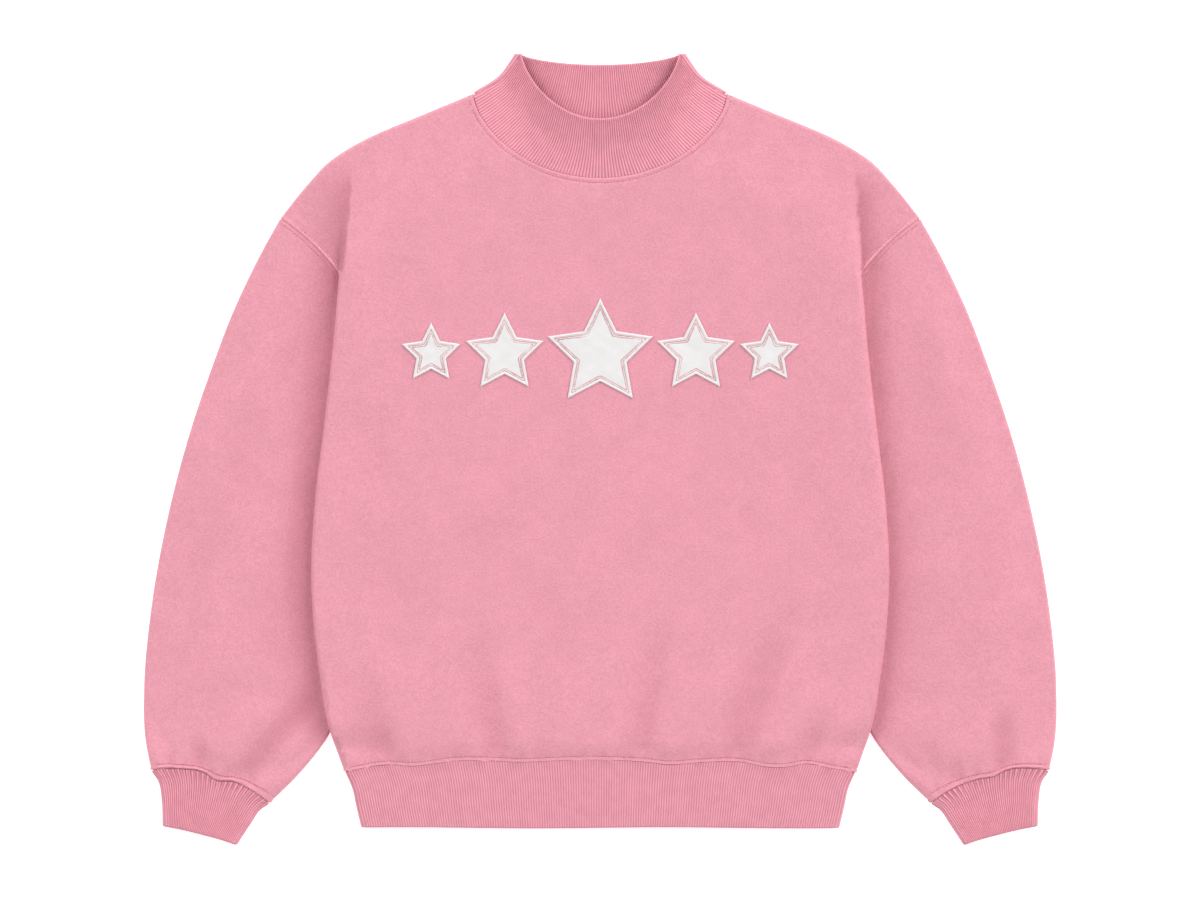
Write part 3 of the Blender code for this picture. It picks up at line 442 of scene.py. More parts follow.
def back_seam(x):
    """Y of the hem seam at the back."""
    return HEM_SEAM - HEM_ARCH * (np.abs(x) / BODY_SIDE[0].x) ** 4


def front_seam(x):
    """Y of the hem seam at the front."""
    return through([spot.x for spot in HEM_LINE], [spot.y for spot in HEM_LINE], x)


def trough(away, ridge):
    """Section of a fold, with a low ridge at either side."""
    return np.exp(-away ** 2) - ridge * np.exp(-((np.abs(away) - 1.9) / 0.8) ** 2)


def fold_depth(folds, x, y):
    """Depth of the soft folds over the hem."""
    depth = 0.0
    for fold in folds:
        up = (y - HEM_SEAM) / (fold.y_top - HEM_SEAM)
        middle = mix(fold.x_seam, fold.x_top, up)
        strength = ease((1.0 - up) * 1.15) * mix(0.3, 1.0, ease((y - back_seam(x)) / 14.0))
        away = (x - middle) / fold.width
        away = np.where(away > 0.0, away / STEEP_SIDE, away / GENTLE_SIDE)
        depth = depth + fold.depth * strength * trough(away, 0.32)
    return depth


def crease_depth(creases, x, y):
    """Depth of soft creases that run between two places."""
    depth = 0.0
    for crease in creases:
        along = np.array([crease.x1 - crease.x0, crease.y1 - crease.y0])
        length = np.linalg.norm(along)
        along = along / length
        t = ((x - crease.x0) * along[0] + (y - crease.y0) * along[1]) / length
        away = ((x - crease.x0) * along[1] - (y - crease.y0) * along[0]) / crease.width
        ends = ease(0.5 + 2.0 * t) * ease(0.5 + 2.0 * (1.0 - t))
        depth = depth + crease.depth * ends * trough(away, 0.35)
    return depth


def unevenness(x, y, phase):
    """Gentle unevenness of cloth that lies loose, as a few crossing waves."""
    waves = (np.sin(x / 23.0 + y / 41.0 + phase) + np.sin(x / 31.0 - y / 19.0 + 2.1 * phase)
             + 0.7 * np.sin(x / 13.0 + y / 57.0 + 3.7 * phase)
             + 0.7 * np.sin(y / 14.0 - x / 47.0 + 5.3 * phase))
    return waves / 3.4


def painted_gather_shade(x, wave, shift, longer, longest):
    """Uneven waves from 0 to 1 along the hem, for painted shade that stands in for gathers of the
    fleece.
    """
    return 0.5 + 0.5 * np.sin(x / wave + shift * np.sin(x / longer)) * np.sin(x / longest + 0.8)


def plain_body_height(x, y):
    """Middle of the front cloth over the body, without its folds."""
    blouse = BLOUSE * ease((y - back_seam(x)) / BLOUSE_RUN) * ease((BLOUSE_TOP - y) / BLOUSE_FADE)
    dip = HEM_DIP * ease((HEM_DIP_TOP - y) / HEM_DIP_RUN)
    centre = CLOTH * 1.5 + BODY_SPACE + blouse - dip
    side = flap_height(y) + 2.0 * side_fold(y) - SETTLE * ease((y - FOLD_END) / SETTLE_RUN)
    level = mix(side, centre, ease((side_line(y) - np.abs(x)) / SIDE_SLOPE))
    from_shoulder = distance(SHOULDER_LINE, x, y)
    shoulder = CLOTH / 2 + 2.0 * SHOULDER_FOLD
    height = mix(shoulder, level, ease(from_shoulder / SHOULDER_SLOPE))
    return height - SHOULDER_FOLD + rounding(from_shoulder, SHOULDER_FOLD)


def body_height(x, y):
    """Middle of the front cloth over the body."""
    loose = ease(distance(SHOULDER_LINE, x, y) / 30.0) * ease((side_line(y) - np.abs(x)) / 14.0)
    loose = loose * ease((y - back_seam(x)) / 10.0)
    relief = fold_depth(FRONT_FOLDS, x, y) + loose * crease_depth(BODY_CREASES, x, y)
    return plain_body_height(x, y) - relief + 0.28 * loose * unevenness(x, y, 0.7)


def arm_height(x, y):
    """Middle of the upper cloth of a sleeve."""
    x = np.abs(x)
    outer = np.where(y > SHOULDER[-1].y, reach(SHOULDER, y), reach(SLEEVE_OUTER, y))
    crest = CLOTH * 1.5 + SLEEVE_SPACE + PUFF * ease((PUFF_TOP - y) / PUFF_RUN)
    level = mix(ARM_EDGE, crest, ease((outer - x) / SLEEVE_SLOPE))
    hidden = VALLEY_WIDTH * ease((y - VALLEY_END) / VALLEY_FADE)
    return mix(ARM_EDGE, level, ease((x - reach(SLEEVE_INNER, y) - hidden) / VALLEY_SLOPE))


def front_height(x, y):
    """Middle of the front cloth, over the body and on out to the armhole seam."""
    beyond = np.abs(x) - side_line(y)
    width = STEP_WIDTH + STEP_SPREAD * ease((y - FOLD_END) / STEP_RUN)
    body = body_height(x, y)
    away = ease(distance(ARMHOLE_LINE, x, y) / ARMHOLE_BLEND)
    cap = mix(arm_height(x, y), body, away)
    return np.where(y > FOLD_END, mix(body, cap, ease(beyond / width)), body)


def seam_relief(away, swell, stitches=STITCH_AWAY):
    """Swell of the cloth along a seam, with the groove that its stitches press in."""
    ridge = swell * bump(away - 1.5, 1.1) - 0.3 * bump(away, 0.6)
    pressed_and_painted_shade = -0.25 * bump(away - stitches, 1.0)
    return ridge + pressed_and_painted_shade + 0.2 * bump(away - 7.0, 2.2)


def gathered_relief(away, swell, middle, width):
    """The same where the cloth is gathered into ribs."""
    ridge = swell * bump(away - middle, width) - 0.3 * bump(away, 0.6)
    return ridge - 0.3 * bump(away - STITCH_AWAY, 1.1)


def cuff_wave(share, side):
    """How the seam of a cuff wanders, at places from -1 outside to 1 inside."""
    if side > 0:
        return 1.3 * bump(share + 0.42, 0.22) - 1.8 * bump(share + 0.10, 0.16)
    return 1.6 * bump(share + 0.25, 0.22) - 2.8 * bump(share - 0.08, 0.17) + bump(share - 0.4, 0.2)


def beside_body(x, y):
    """Distance outwards from the body's edge, which leans a little to one side at the chest."""
    lean = np.where(x < 0.0, 3.4, -2.6) * ease((y - 90.0) / 80.0)
    return np.abs(x) - reach(BODY_SIDE, y) + lean


def painted_shade_by_side(x, y, spread=0.0):
    """Painted shade beside the body's edge, from 0 to 1, standing in for the shadow of the body's
    side; spread widens it and lightens it right at the edge.
    """
    away = beside_body(x, y)
    fade = ease((262.0 - y) / 36.0) * ease((y + 285.0) / 40.0)
    width = np.where(x < 0.0, 23.0, 16.0)
    depth = np.where(x < 0.0, 0.66, 0.74) + 0.20 * ease((y - 110.0) / 60.0)
    shade = np.exp(-(np.maximum(away, 0.0) / width) ** 1.5)
    wider = np.where(x < 0.0, 0.32, 0.07 + 0.17 * ease(y / 60.0)) * bump(away - 13.0, 11.0)
    wider = wider - 0.6 * bump(away - 1.5, 3.5)
    return (depth * ease(0.7 + away / 1.5) * shade + spread * wider) * fade


# ---- meshes

def unit(vectors):
    return vectors / np.maximum(np.linalg.norm(vectors, axis=1), 1e-9)[:, None]


def surface_normals(points, faces):
    """Average facing of a surface at each of its points."""
    a, b, c, d = points[faces.T]
    facing = unit(np.cross(c - a, d - b))
    normals = np.zeros_like(points)
    for corners in faces.T:
        np.add.at(normals, corners, facing)
    return unit(normals)


def border_edges(faces, count):
    """Edges of the faces that no other face shares, in the faces' own direction."""
    starts = faces.ravel()
    ends = np.roll(faces, -1, axis=1).ravel()
    code = starts.astype(np.int64) * count + ends
    back = ends.astype(np.int64) * count + starts
    free = ~np.isin(code, back)
    return starts[free], ends[free]


def cloth_mesh(rows, thickness, closed=False, keep=None, flip=False, outer=0.0, inner=0.0,
               normals=None, shades=None, capped=False):
    """Both faces and the rims of a cloth whose middle surface is a grid of points.

    outer and inner raise the two faces off the middle surface, and shades names values that
    the materials read at each point. A capped grid has its first row filled in.
    """
    shape = rows.shape[:2]
    index = np.arange(shape[0] * shape[1]).reshape(shape)
    after = np.roll(index, -1, axis=1)
    cells = np.stack([index[:-1], after[:-1], after[1:], index[1:]], axis=-1)
    if not closed:
        cells = cells[:, :-1]
    if keep is not None:
        cells = cells[keep]
    faces = cells.reshape(-1, 4)
    if flip:
        faces = faces[:, ::-1]
    points = rows.reshape(-1, 3)
    facing = surface_normals(points, faces)
    if normals is not None:
        given = normals.reshape(-1, 3)
        chosen = np.any(given != 0.0, axis=1)
        facing[chosen] = given[chosen]
    half, above, below = (np.broadcast_to(values, shape).reshape(-1, 1)
                          for values in (thickness / 2, outer, inner))
    count = len(points)
    both = np.concatenate([points + facing * (half + above), points - facing * (half + below)])
    starts, ends = border_edges(faces, count)
    if capped:
        free = starts >= shape[1]
        starts, ends = starts[free], ends[free]
    rims = np.stack([ends, starts, starts + count, ends + count], axis=-1)
    polygons = np.concatenate([faces, faces[:, ::-1] + count, rims]).tolist()
    if capped:
        ring = list(range(shape[1]))
        polygons += [ring[::-1], [corner + count for corner in ring]]
    return make_mesh(both, polygons, shades or {})


def make_mesh(points, polygons, shades):
    """A mesh in metres from points in millimetres, without its unused points."""
    used = np.zeros(len(points), bool)
    used[list(chain.from_iterable(polygons))] = True
    renumber = (np.cumsum(used) - 1).tolist()
    mesh = bpy.data.meshes.new("cloth")
    mesh.from_pydata((points[used] * MM).tolist(), [],
                     [[renumber[corner] for corner in polygon] for polygon in polygons])
    for label, values in shades.items():
        layer = mesh.attributes.new(label, "FLOAT", "POINT")
        layer.data.foreach_set("value", np.tile(values.ravel(), 2)[used].astype(np.float32))
    mesh.shade_smooth()
    mesh.set_sharp_from_angle(angle=SHARP_ANGLE)
    mesh.validate()
    return mesh


def put(name, data):
    """A new object in the scene."""
    item = bpy.data.objects.new(name, data)
    bpy.context.scene.collection.objects.link(item)
    return item


def add_piece(name, mesh, material, nodes):
    """A finished piece of the garment, standing for its solid."""
    mesh.name = name
    mesh.materials.append(material)
    piece = put(name, mesh)
    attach(piece, "root")
    if nodes:
        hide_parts(*nodes)


def both_sides(half):
    """Rows across the whole body, from the right-hand half that starts at the middle."""
    return np.concatenate([half[:, :0:-1] * MIRROR, half], axis=1)


def patch(bottom, top, left, right, u, v):
    """Plan between four edges of (x, y) points, at the shares u across and v up."""
    u = u[None, :, None]
    v = v[:, None, None]
    corners = ((1 - u) * (1 - v) * bottom[0] + u * (1 - v) * bottom[-1]
               + (1 - u) * v * top[0] + u * v * top[-1])
    return ((1 - v) * bottom[None] + v * top[None] + (1 - u) * left[:, None]
            + u * right[:, None] - corners)


def with_height(plan, height):
    return np.concatenate([plan, np.broadcast_to(height, plan.shape[:2])[..., None]], axis=2)


def stand_up(rows, height, neck, flap=0):
    """Give a panel's shoulder seams their height, and return their level normals."""
    normals = np.zeros_like(rows)
    count = rows.shape[1]
    for columns in (slice(flap, count // 2 - neck + 1), slice(count // 2 + neck, count - flap)):
        rows[-1, columns, 2] = height
        ahead = np.gradient(rows[-1, columns], axis=0)
        outward = np.column_stack([-ahead[:, 1], ahead[:, 0], np.zeros(len(ahead))])
        normals[-1, columns] = unit(outward)
    return normals


# ---- body panels

def row_stations(step):
    """Y of a panel's rows at its side, and the rows' shares of the shoulder part."""
    low = np.concatenate([dense([BODY_SIDE[0].y, HEM_DIP_TOP], step / 1.8)[:-1],
                          dense([HEM_DIP_TOP, UNDERARM, FOLD_END], step)])
    return low, np.concatenate([dense([0.0, 0.94], step / 115.0)[1:], 1.0 - TOP_ROWS])


def shoulder_points():
    """Close points along the shoulder seam."""
    places = np.linspace(0.0, 1.0, FINE) * (len(SHOULDER_LINE) - 1)
    index = np.arange(len(SHOULDER_LINE))
    return np.column_stack([np.interp(places, index, values) for values in SHOULDER_LINE.T])


def armhole_edge(high):
    """A panel's edge along the armhole seam, above the body's side fold."""
    y = mix(FOLD_END, ARMHOLE_TOP, high)
    return np.column_stack([reach(ARMHOLE, y) + PANEL_CLEAR, y])


def panel_plan(top, right):
    """Plan of half a panel, from the middle to its side and from the hem end to its top."""
    v = (right[:, 1] - right[0, 1]) / (right[-1, 1] - right[0, 1])
    u = np.linspace(0.0, 1.0, len(top))
    across = u * right[0, 0]
    bottom = np.column_stack([across, back_seam(across) + SEAM / 2])
    bottom[-1] = right[0]
    left = np.column_stack([np.zeros(len(v)), mix(bottom[0, 1], top[0, 1], v)])
    return patch(bottom, top, left, right, u, v)


def tucked_strip(low):
    """The front's side below the armhole: round the fold and, higher up, back under it."""
    strip = np.zeros((len(low), STRIP_COLUMNS, 3))
    for row, y in enumerate(low):
        radius = side_fold(y)
        axis = side_line(y)
        under = ease((y - UNDERARM) / TUCK_RUN)
        arc = radius * (np.pi / 2 + np.radians(TUCK_TURN * under))
        inward = np.maximum(axis - TUCK_GAP - reach(ARMHOLE, y) - 1.0, 0.5) * under
        places = np.linspace(0.0, arc + inward, STRIP_COLUMNS + 1)[1:]
        turn = np.pi / 2 - np.minimum(places, arc) / radius
        strip[row, :, 0] = axis + radius * np.cos(turn) - np.maximum(places - arc, 0.0)
        strip[row, :, 1] = y
        strip[row, :, 2] = flap_height(y) + radius + radius * np.sin(turn)
        strip[row, -1, 2] += SEAM / 2 * (1.0 - under)
    return strip


def front_rows():
    """Middle surface of half the front, still level, and the number of rows below the armhole."""
    low, high = row_stations(BODY_STEP)
    shoulder = shoulder_points()
    meet = round(CREASE_SHARE * (FINE - 1))
    top = np.concatenate([neck_edge(NECK_FRONT, FRONT_NECK_POWER, NECK_COLUMNS),
                          even(shoulder[:meet + 1], SHOULDER_COLUMNS + 1)[1:]])
    high_y = mix(FOLD_END, top[-1, 1], high)
    crease = np.column_stack([mix(side_line(high_y), top[-1, 0], ease(high)), high_y])
    right = np.concatenate([np.column_stack([side_line(low), low]), crease])
    right[0, 1] = front_seam(right[0, 0]) + SEAM / 2
    body = with_height(panel_plan(top, right), 0.0)

    # The columns of the cap lie closer together towards the armhole seam.
    seam = armhole_edge(high)
    spread = 1.0 - (1.0 - np.linspace(0.0, 1.0, STRIP_COLUMNS + 1)) ** 1.6
    end = even(shoulder[meet:], FINE + 1)[np.round(spread * FINE).astype(int)]
    end[-1] = seam[-1]
    start = mix(right[len(low) - 1], seam[0], spread[:, None])
    cap = with_height(patch(start, end, crease, seam, spread, high), 0.0)[:, 1:]
    return np.concatenate([body, np.concatenate([tucked_strip(low), cap])], axis=1), len(low)


def front_panel():
    """Front, from the hem seam to the neck and shoulders, and out to the armholes."""
    half, low_count = front_rows()
    rows = both_sides(half)
    x, y = rows[..., 0], rows[..., 1]
    columns = np.arange(rows.shape[1])
    strip = (columns < STRIP_COLUMNS) | (columns >= len(columns) - STRIP_COLUMNS)
    low = (np.arange(len(rows)) < low_count)[:, None]
    # The hem end follows the seam's own waves.
    shift = (front_seam(x) - back_seam(x)) * ease(1.0 - (y - back_seam(x)) / 30.0)
    y += np.where(low | ~strip, shift, 0.0)
    rows[..., 2] = np.where(low & strip, rows[..., 2], front_height(x, y))
    normals = stand_up(rows, CLOTH / 2 + SHOULDER_FOLD + SEAM / 2, NECK_COLUMNS)

    neck = distance(FRONT_NECK, x, y)
    armhole = distance(ARMHOLE_LINE, x, y)
    near_hem = y - front_seam(x)
    cap = strip * (y > FOLD_END)
    relief = seam_relief(neck, 0.5, NECK_STITCH_AWAY) + gathered_relief(near_hem, 0.9, 1.3, 1.0)
    relief += seam_relief(armhole, 0.7) * strip * ease((y - FOLD_END + 2.0) / 10.0)
    relief[-1] = 0.0
    # Painted shading: shade is painted into the fold troughs and creases, beside the body's edge at
    # the shoulders, along the seam lines and over the gathers at the hem. Painted highlights go on
    # the seams' ridges and along the body's right-hand edge.
    lit = 1.2 * bump(neck - 1.6, 1.1) + bump(near_hem - 1.3, 1.0)
    lit += 1.5 * bump(armhole - 1.9, 1.2) * cap
    lit += (0.8 * bump(beside_body(x, y) + 4.0, 3.0) * (x > 0.0) * ease((y + 120.0) / 60.0)
            * ease((225.0 - y) / 40.0))
    hollow = 0.36 * np.clip(fold_depth(FRONT_FOLDS, x, y) / 3.0, 0.0, 1.2)
    hollow += np.where(y > FOLD_END, painted_shade_by_side(x, y), 0.0)
    hollow += 0.3 * np.clip(crease_depth(BODY_CREASES, x, y), 0.0, 1.0)
    hollow += 0.26 * painted_gather_shade(x, 2.6, 1.7, 11.0, 7.3) * bump(near_hem - 6.0, 3.5)
    seams = bump(armhole, 0.5) * cap + 1.4 * bump(neck, 0.5)
    hollow = hollow * (1.0 - 0.7 * bump(armhole - 2.2, 2.0)) - 0.55 * lit + 0.5 * seams
    return cloth_mesh(rows, CLOTH, outer=relief, normals=normals, shades={"hollow": hollow})


def back_rows():
    """Middle surface of half the back with its side flap, and the flap's number of rows."""
    low, high = row_stations(BACK_STEP)
    top = np.concatenate([
        even(neck_edge(NECK_BACK, BACK_NECK_POWER, FINE), BACK_NECK_COLUMNS + 1),
        even(shoulder_points(), SHOULDER_COLUMNS + 1)[1:]])
    base = np.minimum(reach(SLEEVE_INNER, low) - RISE - FLAP_GAP, side_line(low) - FLAP_CLEAR)
    joined = np.where(low < 0.0, reach(SLEEVE_INNER, low) - SEAM, reach(ARMHOLE, low) - 0.75 * SEAM)
    side = np.column_stack([mix(base, joined, ease((low - UNDERARM) / FLAP_JOIN)), low])
    side[0, 1] = back_seam(side[0, 0]) + SEAM / 2
    seam = armhole_edge(high)
    seam[-1] = top[-1]
    right = np.concatenate([side, seam])
    plan = panel_plan(top, right)
    from_shoulder = distance(SHOULDER_LINE, plan[..., 0], plan[..., 1])
    lift = SHOULDER_FOLD - rounding(from_shoulder, SHOULDER_FOLD)
    flap_rows = int(np.sum(low <= UNDERARM))
    flap = np.array([back_flap(low[min(row, flap_rows - 1)], x)
                     for row, x in enumerate(right[:, 0])])
    return np.concatenate([with_height(plan, CLOTH / 2 + lift), flap], axis=1), flap_rows


def back_flap(y, base):
    """The back's side strip: up onto the sleeve, across it and round the fold to the seam."""
    radius = side_fold(y)
    level = flap_height(y)
    climb = FLAP_COLUMNS // 2
    share = np.linspace(0.0, 1.0, climb + 1)[1:]
    turn = np.radians(np.linspace(-90.0, 0.0, FLAP_COLUMNS - climb))
    x = np.concatenate([base + share * RISE, side_line(y) + radius * np.cos(turn)])
    z = np.concatenate([mix(CLOTH / 2, level, ease(share)), level + radius + radius * np.sin(turn)])
    z[-1] -= SEAM / 2
    at_hem = y <= BODY_SIDE[0].y
    return np.column_stack([x, back_seam(x) + SEAM / 2 if at_hem else np.full(len(x), y), z])


def back_panel():
    """Back, flat on the surface, with a strip at each side that climbs onto the sleeve."""
    half, flap_rows = back_rows()
    rows = both_sides(half)
    height = CLOTH / 2 + SHOULDER_FOLD - SEAM / 2
    normals = -stand_up(rows, height, BACK_NECK_COLUMNS, FLAP_COLUMNS)
    keep = np.ones((rows.shape[0] - 1, rows.shape[1] - 1), bool)
    keep[flap_rows - 1:, :FLAP_COLUMNS] = False
    keep[flap_rows - 1:, -FLAP_COLUMNS:] = False
    # The grid's outer face is the inside of the back, which faces up. Its folds are below.
    x, y = rows[..., 0], rows[..., 1]
    loose = ease((215.0 - np.abs(x)) / 20.0) * ease((y + 285.0) / 10.0)
    pressed_and_painted_shade = 0.35 * fold_depth(BACK_FOLDS, x, y) * loose
    return cloth_mesh(rows, CLOTH, keep=keep, inner=-np.maximum(pressed_and_painted_shade, 0.0), normals=normals)


# ---- sleeves and cuffs

def tube_curve(place, side, bow, wander):
    """How far a section rises over the line between its edges, from -1 outside to 1 inside."""
    return bow * (1.0 - np.abs(place) ** 3) + wander * cuff_wave(place, side)


def tube_ring(outer, inner, curve, radius, top_height, wall, columns):
    """One closed section of a flattened tube, between its outer and inner edge."""
    outer = np.array(outer)
    width = np.linalg.norm(inner - outer)
    along = (inner - outer) / width
    edge = wall / 2 + radius
    quarter = np.linspace(0.0, np.pi / 2, columns.arc + 1)
    half = np.linspace(np.pi / 2, -np.pi / 2, 2 * columns.arc + 1)
    last = quarter[:-1] - np.pi / 2
    across = np.linspace(edge, width - edge, columns.top + 1)[1:-1]
    back = np.linspace(width - edge, edge, columns.bottom + 1)[1:-1]
    places = np.concatenate([edge - radius * np.cos(quarter), across,
                             width - edge + radius * np.cos(half), back,
                             edge - radius * np.cos(last)])
    rise = curve(2.0 * places / width - 1.0)
    spots = (outer + along * places[:, None]
             + np.array([along[1], -along[0]]) * rise[:, None])
    free = spots[len(quarter):len(quarter) + len(across)]
    heights = np.concatenate([edge + radius * np.sin(quarter), top_height(free[:, 0], free[:, 1]),
                              edge + radius * np.sin(half), np.full(len(back), edge - radius),
                              edge + radius * np.sin(last)])
    return np.column_stack([spots, heights])


def open_ring(y):
    """A section above the underarm, whose inner ends lie at the armhole seam."""
    x = reach(SLEEVE_OUTER, y)
    width = x - reach(ARMHOLE, y) - SLEEVE_CLEAR
    turn = min(SLEEVE_FOLD, width / 3.0)
    edge = CLOTH / 2 + turn
    axis = CLOTH / 2 + SLEEVE_FOLD
    quarter = np.linspace(0.0, np.pi / 2, SLEEVE_COLUMNS.arc + 1)
    last = quarter[:-1] - np.pi / 2
    across = np.linspace(edge, width, SLEEVE_COLUMNS.top + 1)[1:]
    back = np.linspace(width, edge, SLEEVE_COLUMNS.bottom + 1)[:-1]
    inner = 2 * SLEEVE_COLUMNS.arc - 1
    places = np.concatenate([edge - turn * np.cos(quarter), across, np.full(inner, width), back,
                             edge - turn * np.cos(last)])
    upper = np.maximum(arm_height(x - across, y), ARM_EDGE)
    heights = np.concatenate([axis + SLEEVE_FOLD * np.sin(quarter), upper,
                              np.full(inner, upper[-1]), np.full(len(back), CLOTH / 2),
                              axis + SLEEVE_FOLD * np.sin(last)])
    return np.column_stack([x - places, np.full(len(places), y), heights])


def sleeve_ring(share, side):
    """A section of a sleeve's closed part, at a share of the way down to its cuff."""
    outer_y = SLEEVE_OUTER[-1].y * share
    inner_y = SLEEVE_INNER[-1].y * share
    radius = mix(SLEEVE_FOLD, SLEEVE_END_FOLD, ease((share - 0.8) / 0.2))
    lowest = CLOTH / 2 + 2.0 * radius
    end = CLOTH / 2 + 2.0 * SLEEVE_END_FOLD + 1.0

    def top(x, y):
        return mix(np.maximum(arm_height(x, y), lowest), end, ease((share - 0.9) / 0.1))

    curve = partial(tube_curve, side=side, bow=CUFF_BOW * share ** 6, wander=share ** 14)
    return tube_ring((reach(SLEEVE_OUTER, outer_y), outer_y),
                     (reach(SLEEVE_INNER, inner_y), inner_y),
                     curve, radius, top, CLOTH, SLEEVE_COLUMNS)


def sleeve_rows(arm):
    """Middle surface of a sleeve, with what its relief depends on."""
    open_y = np.concatenate([[206.6, 206.0, 205.0], dense([203.0, 2.0], SLEEVE_STEP)])
    shares = np.concatenate([dense([0.0, 0.9], SLEEVE_STEP / 305.0)[:-1],
                             dense([0.9, 1.0], SLEEVE_STEP / 520.0)])
    rows = np.array([open_ring(y) for y in open_y] + [sleeve_ring(at, arm.side) for at in shares])
    inner_start = SLEEVE_COLUMNS.arc + SLEEVE_COLUMNS.top
    keep = np.ones((len(rows) - 1, rows.shape[1]), bool)
    keep[:len(open_y), inner_start:inner_start + 2 * SLEEVE_COLUMNS.arc] = False

    # Creases press the upper layer only, and fade out towards its two edges.
    x, y = rows[..., 0], rows[..., 1]
    column = np.arange(rows.shape[1])
    upper = (ease((column - SLEEVE_COLUMNS.arc + 2.0) / 10.0)
             * ease((inner_start + 2.0 - column) / 8.0))[None]
    ends = np.concatenate([np.full(len(open_y), 400.0), (1.0 - shares) * SLEEVE_LENGTH])[:, None]
    from_seam = ease(distance(ARMHOLE_LINE, x, y) / 12.0)
    depth = crease_depth(arm.creases, x, y)
    press = depth + 0.30 * unevenness(x, y, arm.phase)
    gathers = 0.55 * np.sin(x / 3.1 + arm.phase) + 0.45 * np.sin(x / 1.9 + 2.0 * arm.phase)
    rows[..., 2] -= upper * from_seam * ease(ends / 7.0) * press
    rows[..., 2] += upper * gathers * bump(ends - 5.0, 6.0) * ease(ends / 3.0)
    at_seam = (np.arange(len(rows)) < len(open_y))[:, None] * (upper > 0.0)
    return rows, keep, ends, at_seam, np.clip(depth / 2.5, 0.0, 1.0)


def sleeve(arm):
    """A sleeve: two layers joined at the outer edge, and a closed tube below the underarm."""
    rows, keep, ends, at_seam, pressed_and_painted_shade = sleeve_rows(arm)
    x, y = rows[..., 0], rows[..., 1]
    armhole = distance(ARMHOLE_LINE, x, y)
    relief = 0.5 * seam_relief(armhole, 0.0) * at_seam + gathered_relief(ends, 0.85, 1.4, 1.1)
    relief = np.where(rows[..., 2] < CLOTH, 0.0, relief)
    # Painted shade beside the body's edge, in the creases and along the armhole seam, and a painted
    # highlight on the ridge over the cuff.
    hollow = painted_shade_by_side(arm.side * x, y, 1.0) + 0.55 * pressed_and_painted_shade - 0.4 * bump(ends - 1.4, 1.1)
    hollow += 0.5 * bump(armhole, 0.6) * at_seam
    x *= arm.side
    return cloth_mesh(rows, CLOTH, closed=True, keep=keep, flip=arm.side < 0, outer=relief,
                      shades={"hollow": hollow})


def rib_waves(ring, pitch):
    """Length along a ring at its points, and its ribs: 1 on top of one and -1 in its groove."""
    length = run(looped(ring))
    count = round(length[-1] / pitch)
    return length[:-1], np.cos(2.0 * np.pi * length / length[-1] * count)[:-1]


def rib_levels(count, fine):
    """Shares of a rib's height, closer together near the rounded end."""
    return np.concatenate([np.linspace(0.0, 1.0 - fine, count), 1.0 - fine * RIM_ROWS])


def ribbed_mesh(rows, levels, height, rib, hollow, strength=1.0, groove=1.8,
                inside=INSIDE_RELIEF, flip=False):
    """A ring of rib knit with a rounded open edge, whose height is given in millimetres."""
    relief = RIB_RELIEF * strength * rib - 0.2 * bump(levels[:, None] * height, groove)
    inward = np.clip((1.0 - levels) * height / RIM, 0.0, 1.0)
    taper = np.sqrt(np.maximum(1.0 - (1.0 - inward) ** 2, 0.02))[:, None]
    shape = rows.shape[:2]
    shades = {"rib": np.broadcast_to(0.5 - 0.5 * rib, shape),
              "hollow": np.broadcast_to(hollow, shape)}
    return cloth_mesh(rows, RIB * taper, closed=True, flip=flip, outer=relief * taper,
                      inner=relief * taper * inside, shades=shades)


def cuff(arm):
    """A cuff of rib, a short flattened tube."""
    radius = (CUFF_SPACE + RIB) / 2
    levels = rib_levels(12, 0.045)
    knots = np.linspace(0.0, 1.0, len(CUFF_ROWS))

    def top(x, y):
        return np.full(len(x), RIB / 2 + 2.0 * radius)

    rings = []
    for share in levels:
        row = CuffRow(*(through(knots, values, share) for values in zip(*CUFF_ROWS)))
        curve = partial(tube_curve, side=arm.side, bow=row.bow, wander=(1.0 - share) ** 4)
        rings.append(tube_ring((row.outer_x, row.outer_y - SEAM), (row.inner_x, row.inner_y - SEAM),
                               curve, radius, top, RIB, CUFF_COLUMNS))
    rows = np.array(rings)
    at, rib = rib_waves(rows[-1], CUFF_PITCH)
    upper = rows[..., 2] > CLOTH * 2
    near = bump(levels * 40.0, 9.0)[:, None]
    # Near the seam the ribs crowd into uneven pleats, each about two ribs wide.
    pleats = np.sin(at * 2.0 * np.pi / (2.0 * CUFF_PITCH) + 1.4 * np.sin(at / 5.3 + arm.pleats))
    pleats *= 0.75 + 0.25 * np.sin(at / 8.0 + arm.pleats)
    rows[..., 2] += upper * near * 0.30 * pleats
    # Painted shade between the pleats near the seam, and the rest of the cuff a little lighter.
    hollow = near * (0.34 - 0.50 * pleats) - 0.30 * (1.0 - near)
    rows[..., 0] *= arm.side
    return ribbed_mesh(rows, levels, CUFF_HEIGHT, rib, hollow, flip=arm.side < 0, groove=2.0,
                       strength=0.85 * mix(1.1, 0.85, levels)[:, None])


# ---- ribs of hem and neck

def hem_ring(share, radius):
    """A section of the hem rib, at a share of the way down to its open edge."""
    half = reach(HEM_SIDE, mix(HEM_SIDE[0].y, HEM_SIDE[-1].y, share)) - RIB / 2 - radius
    arc = np.linspace(np.pi / 2, -np.pi / 2, 21)
    front = np.linspace(-half, half, HEM_COLUMNS)[1:-1]
    x = np.concatenate([front, half + radius * np.cos(arc), -front,
                        -half - radius * np.cos(arc[::-1])])
    z = np.concatenate([np.full(len(front), radius), radius * np.sin(arc),
                        np.full(len(front), -radius), radius * np.sin(arc[::-1])])
    seam = mix(back_seam(x), front_seam(x), ease(0.5 + z / radius / 2))
    y = mix(seam - SEAM / 2, HEM_BOTTOM + 0.5 * np.sin(x / 37.0), share)
    return np.column_stack([x, y, RIB / 2 + radius + z])


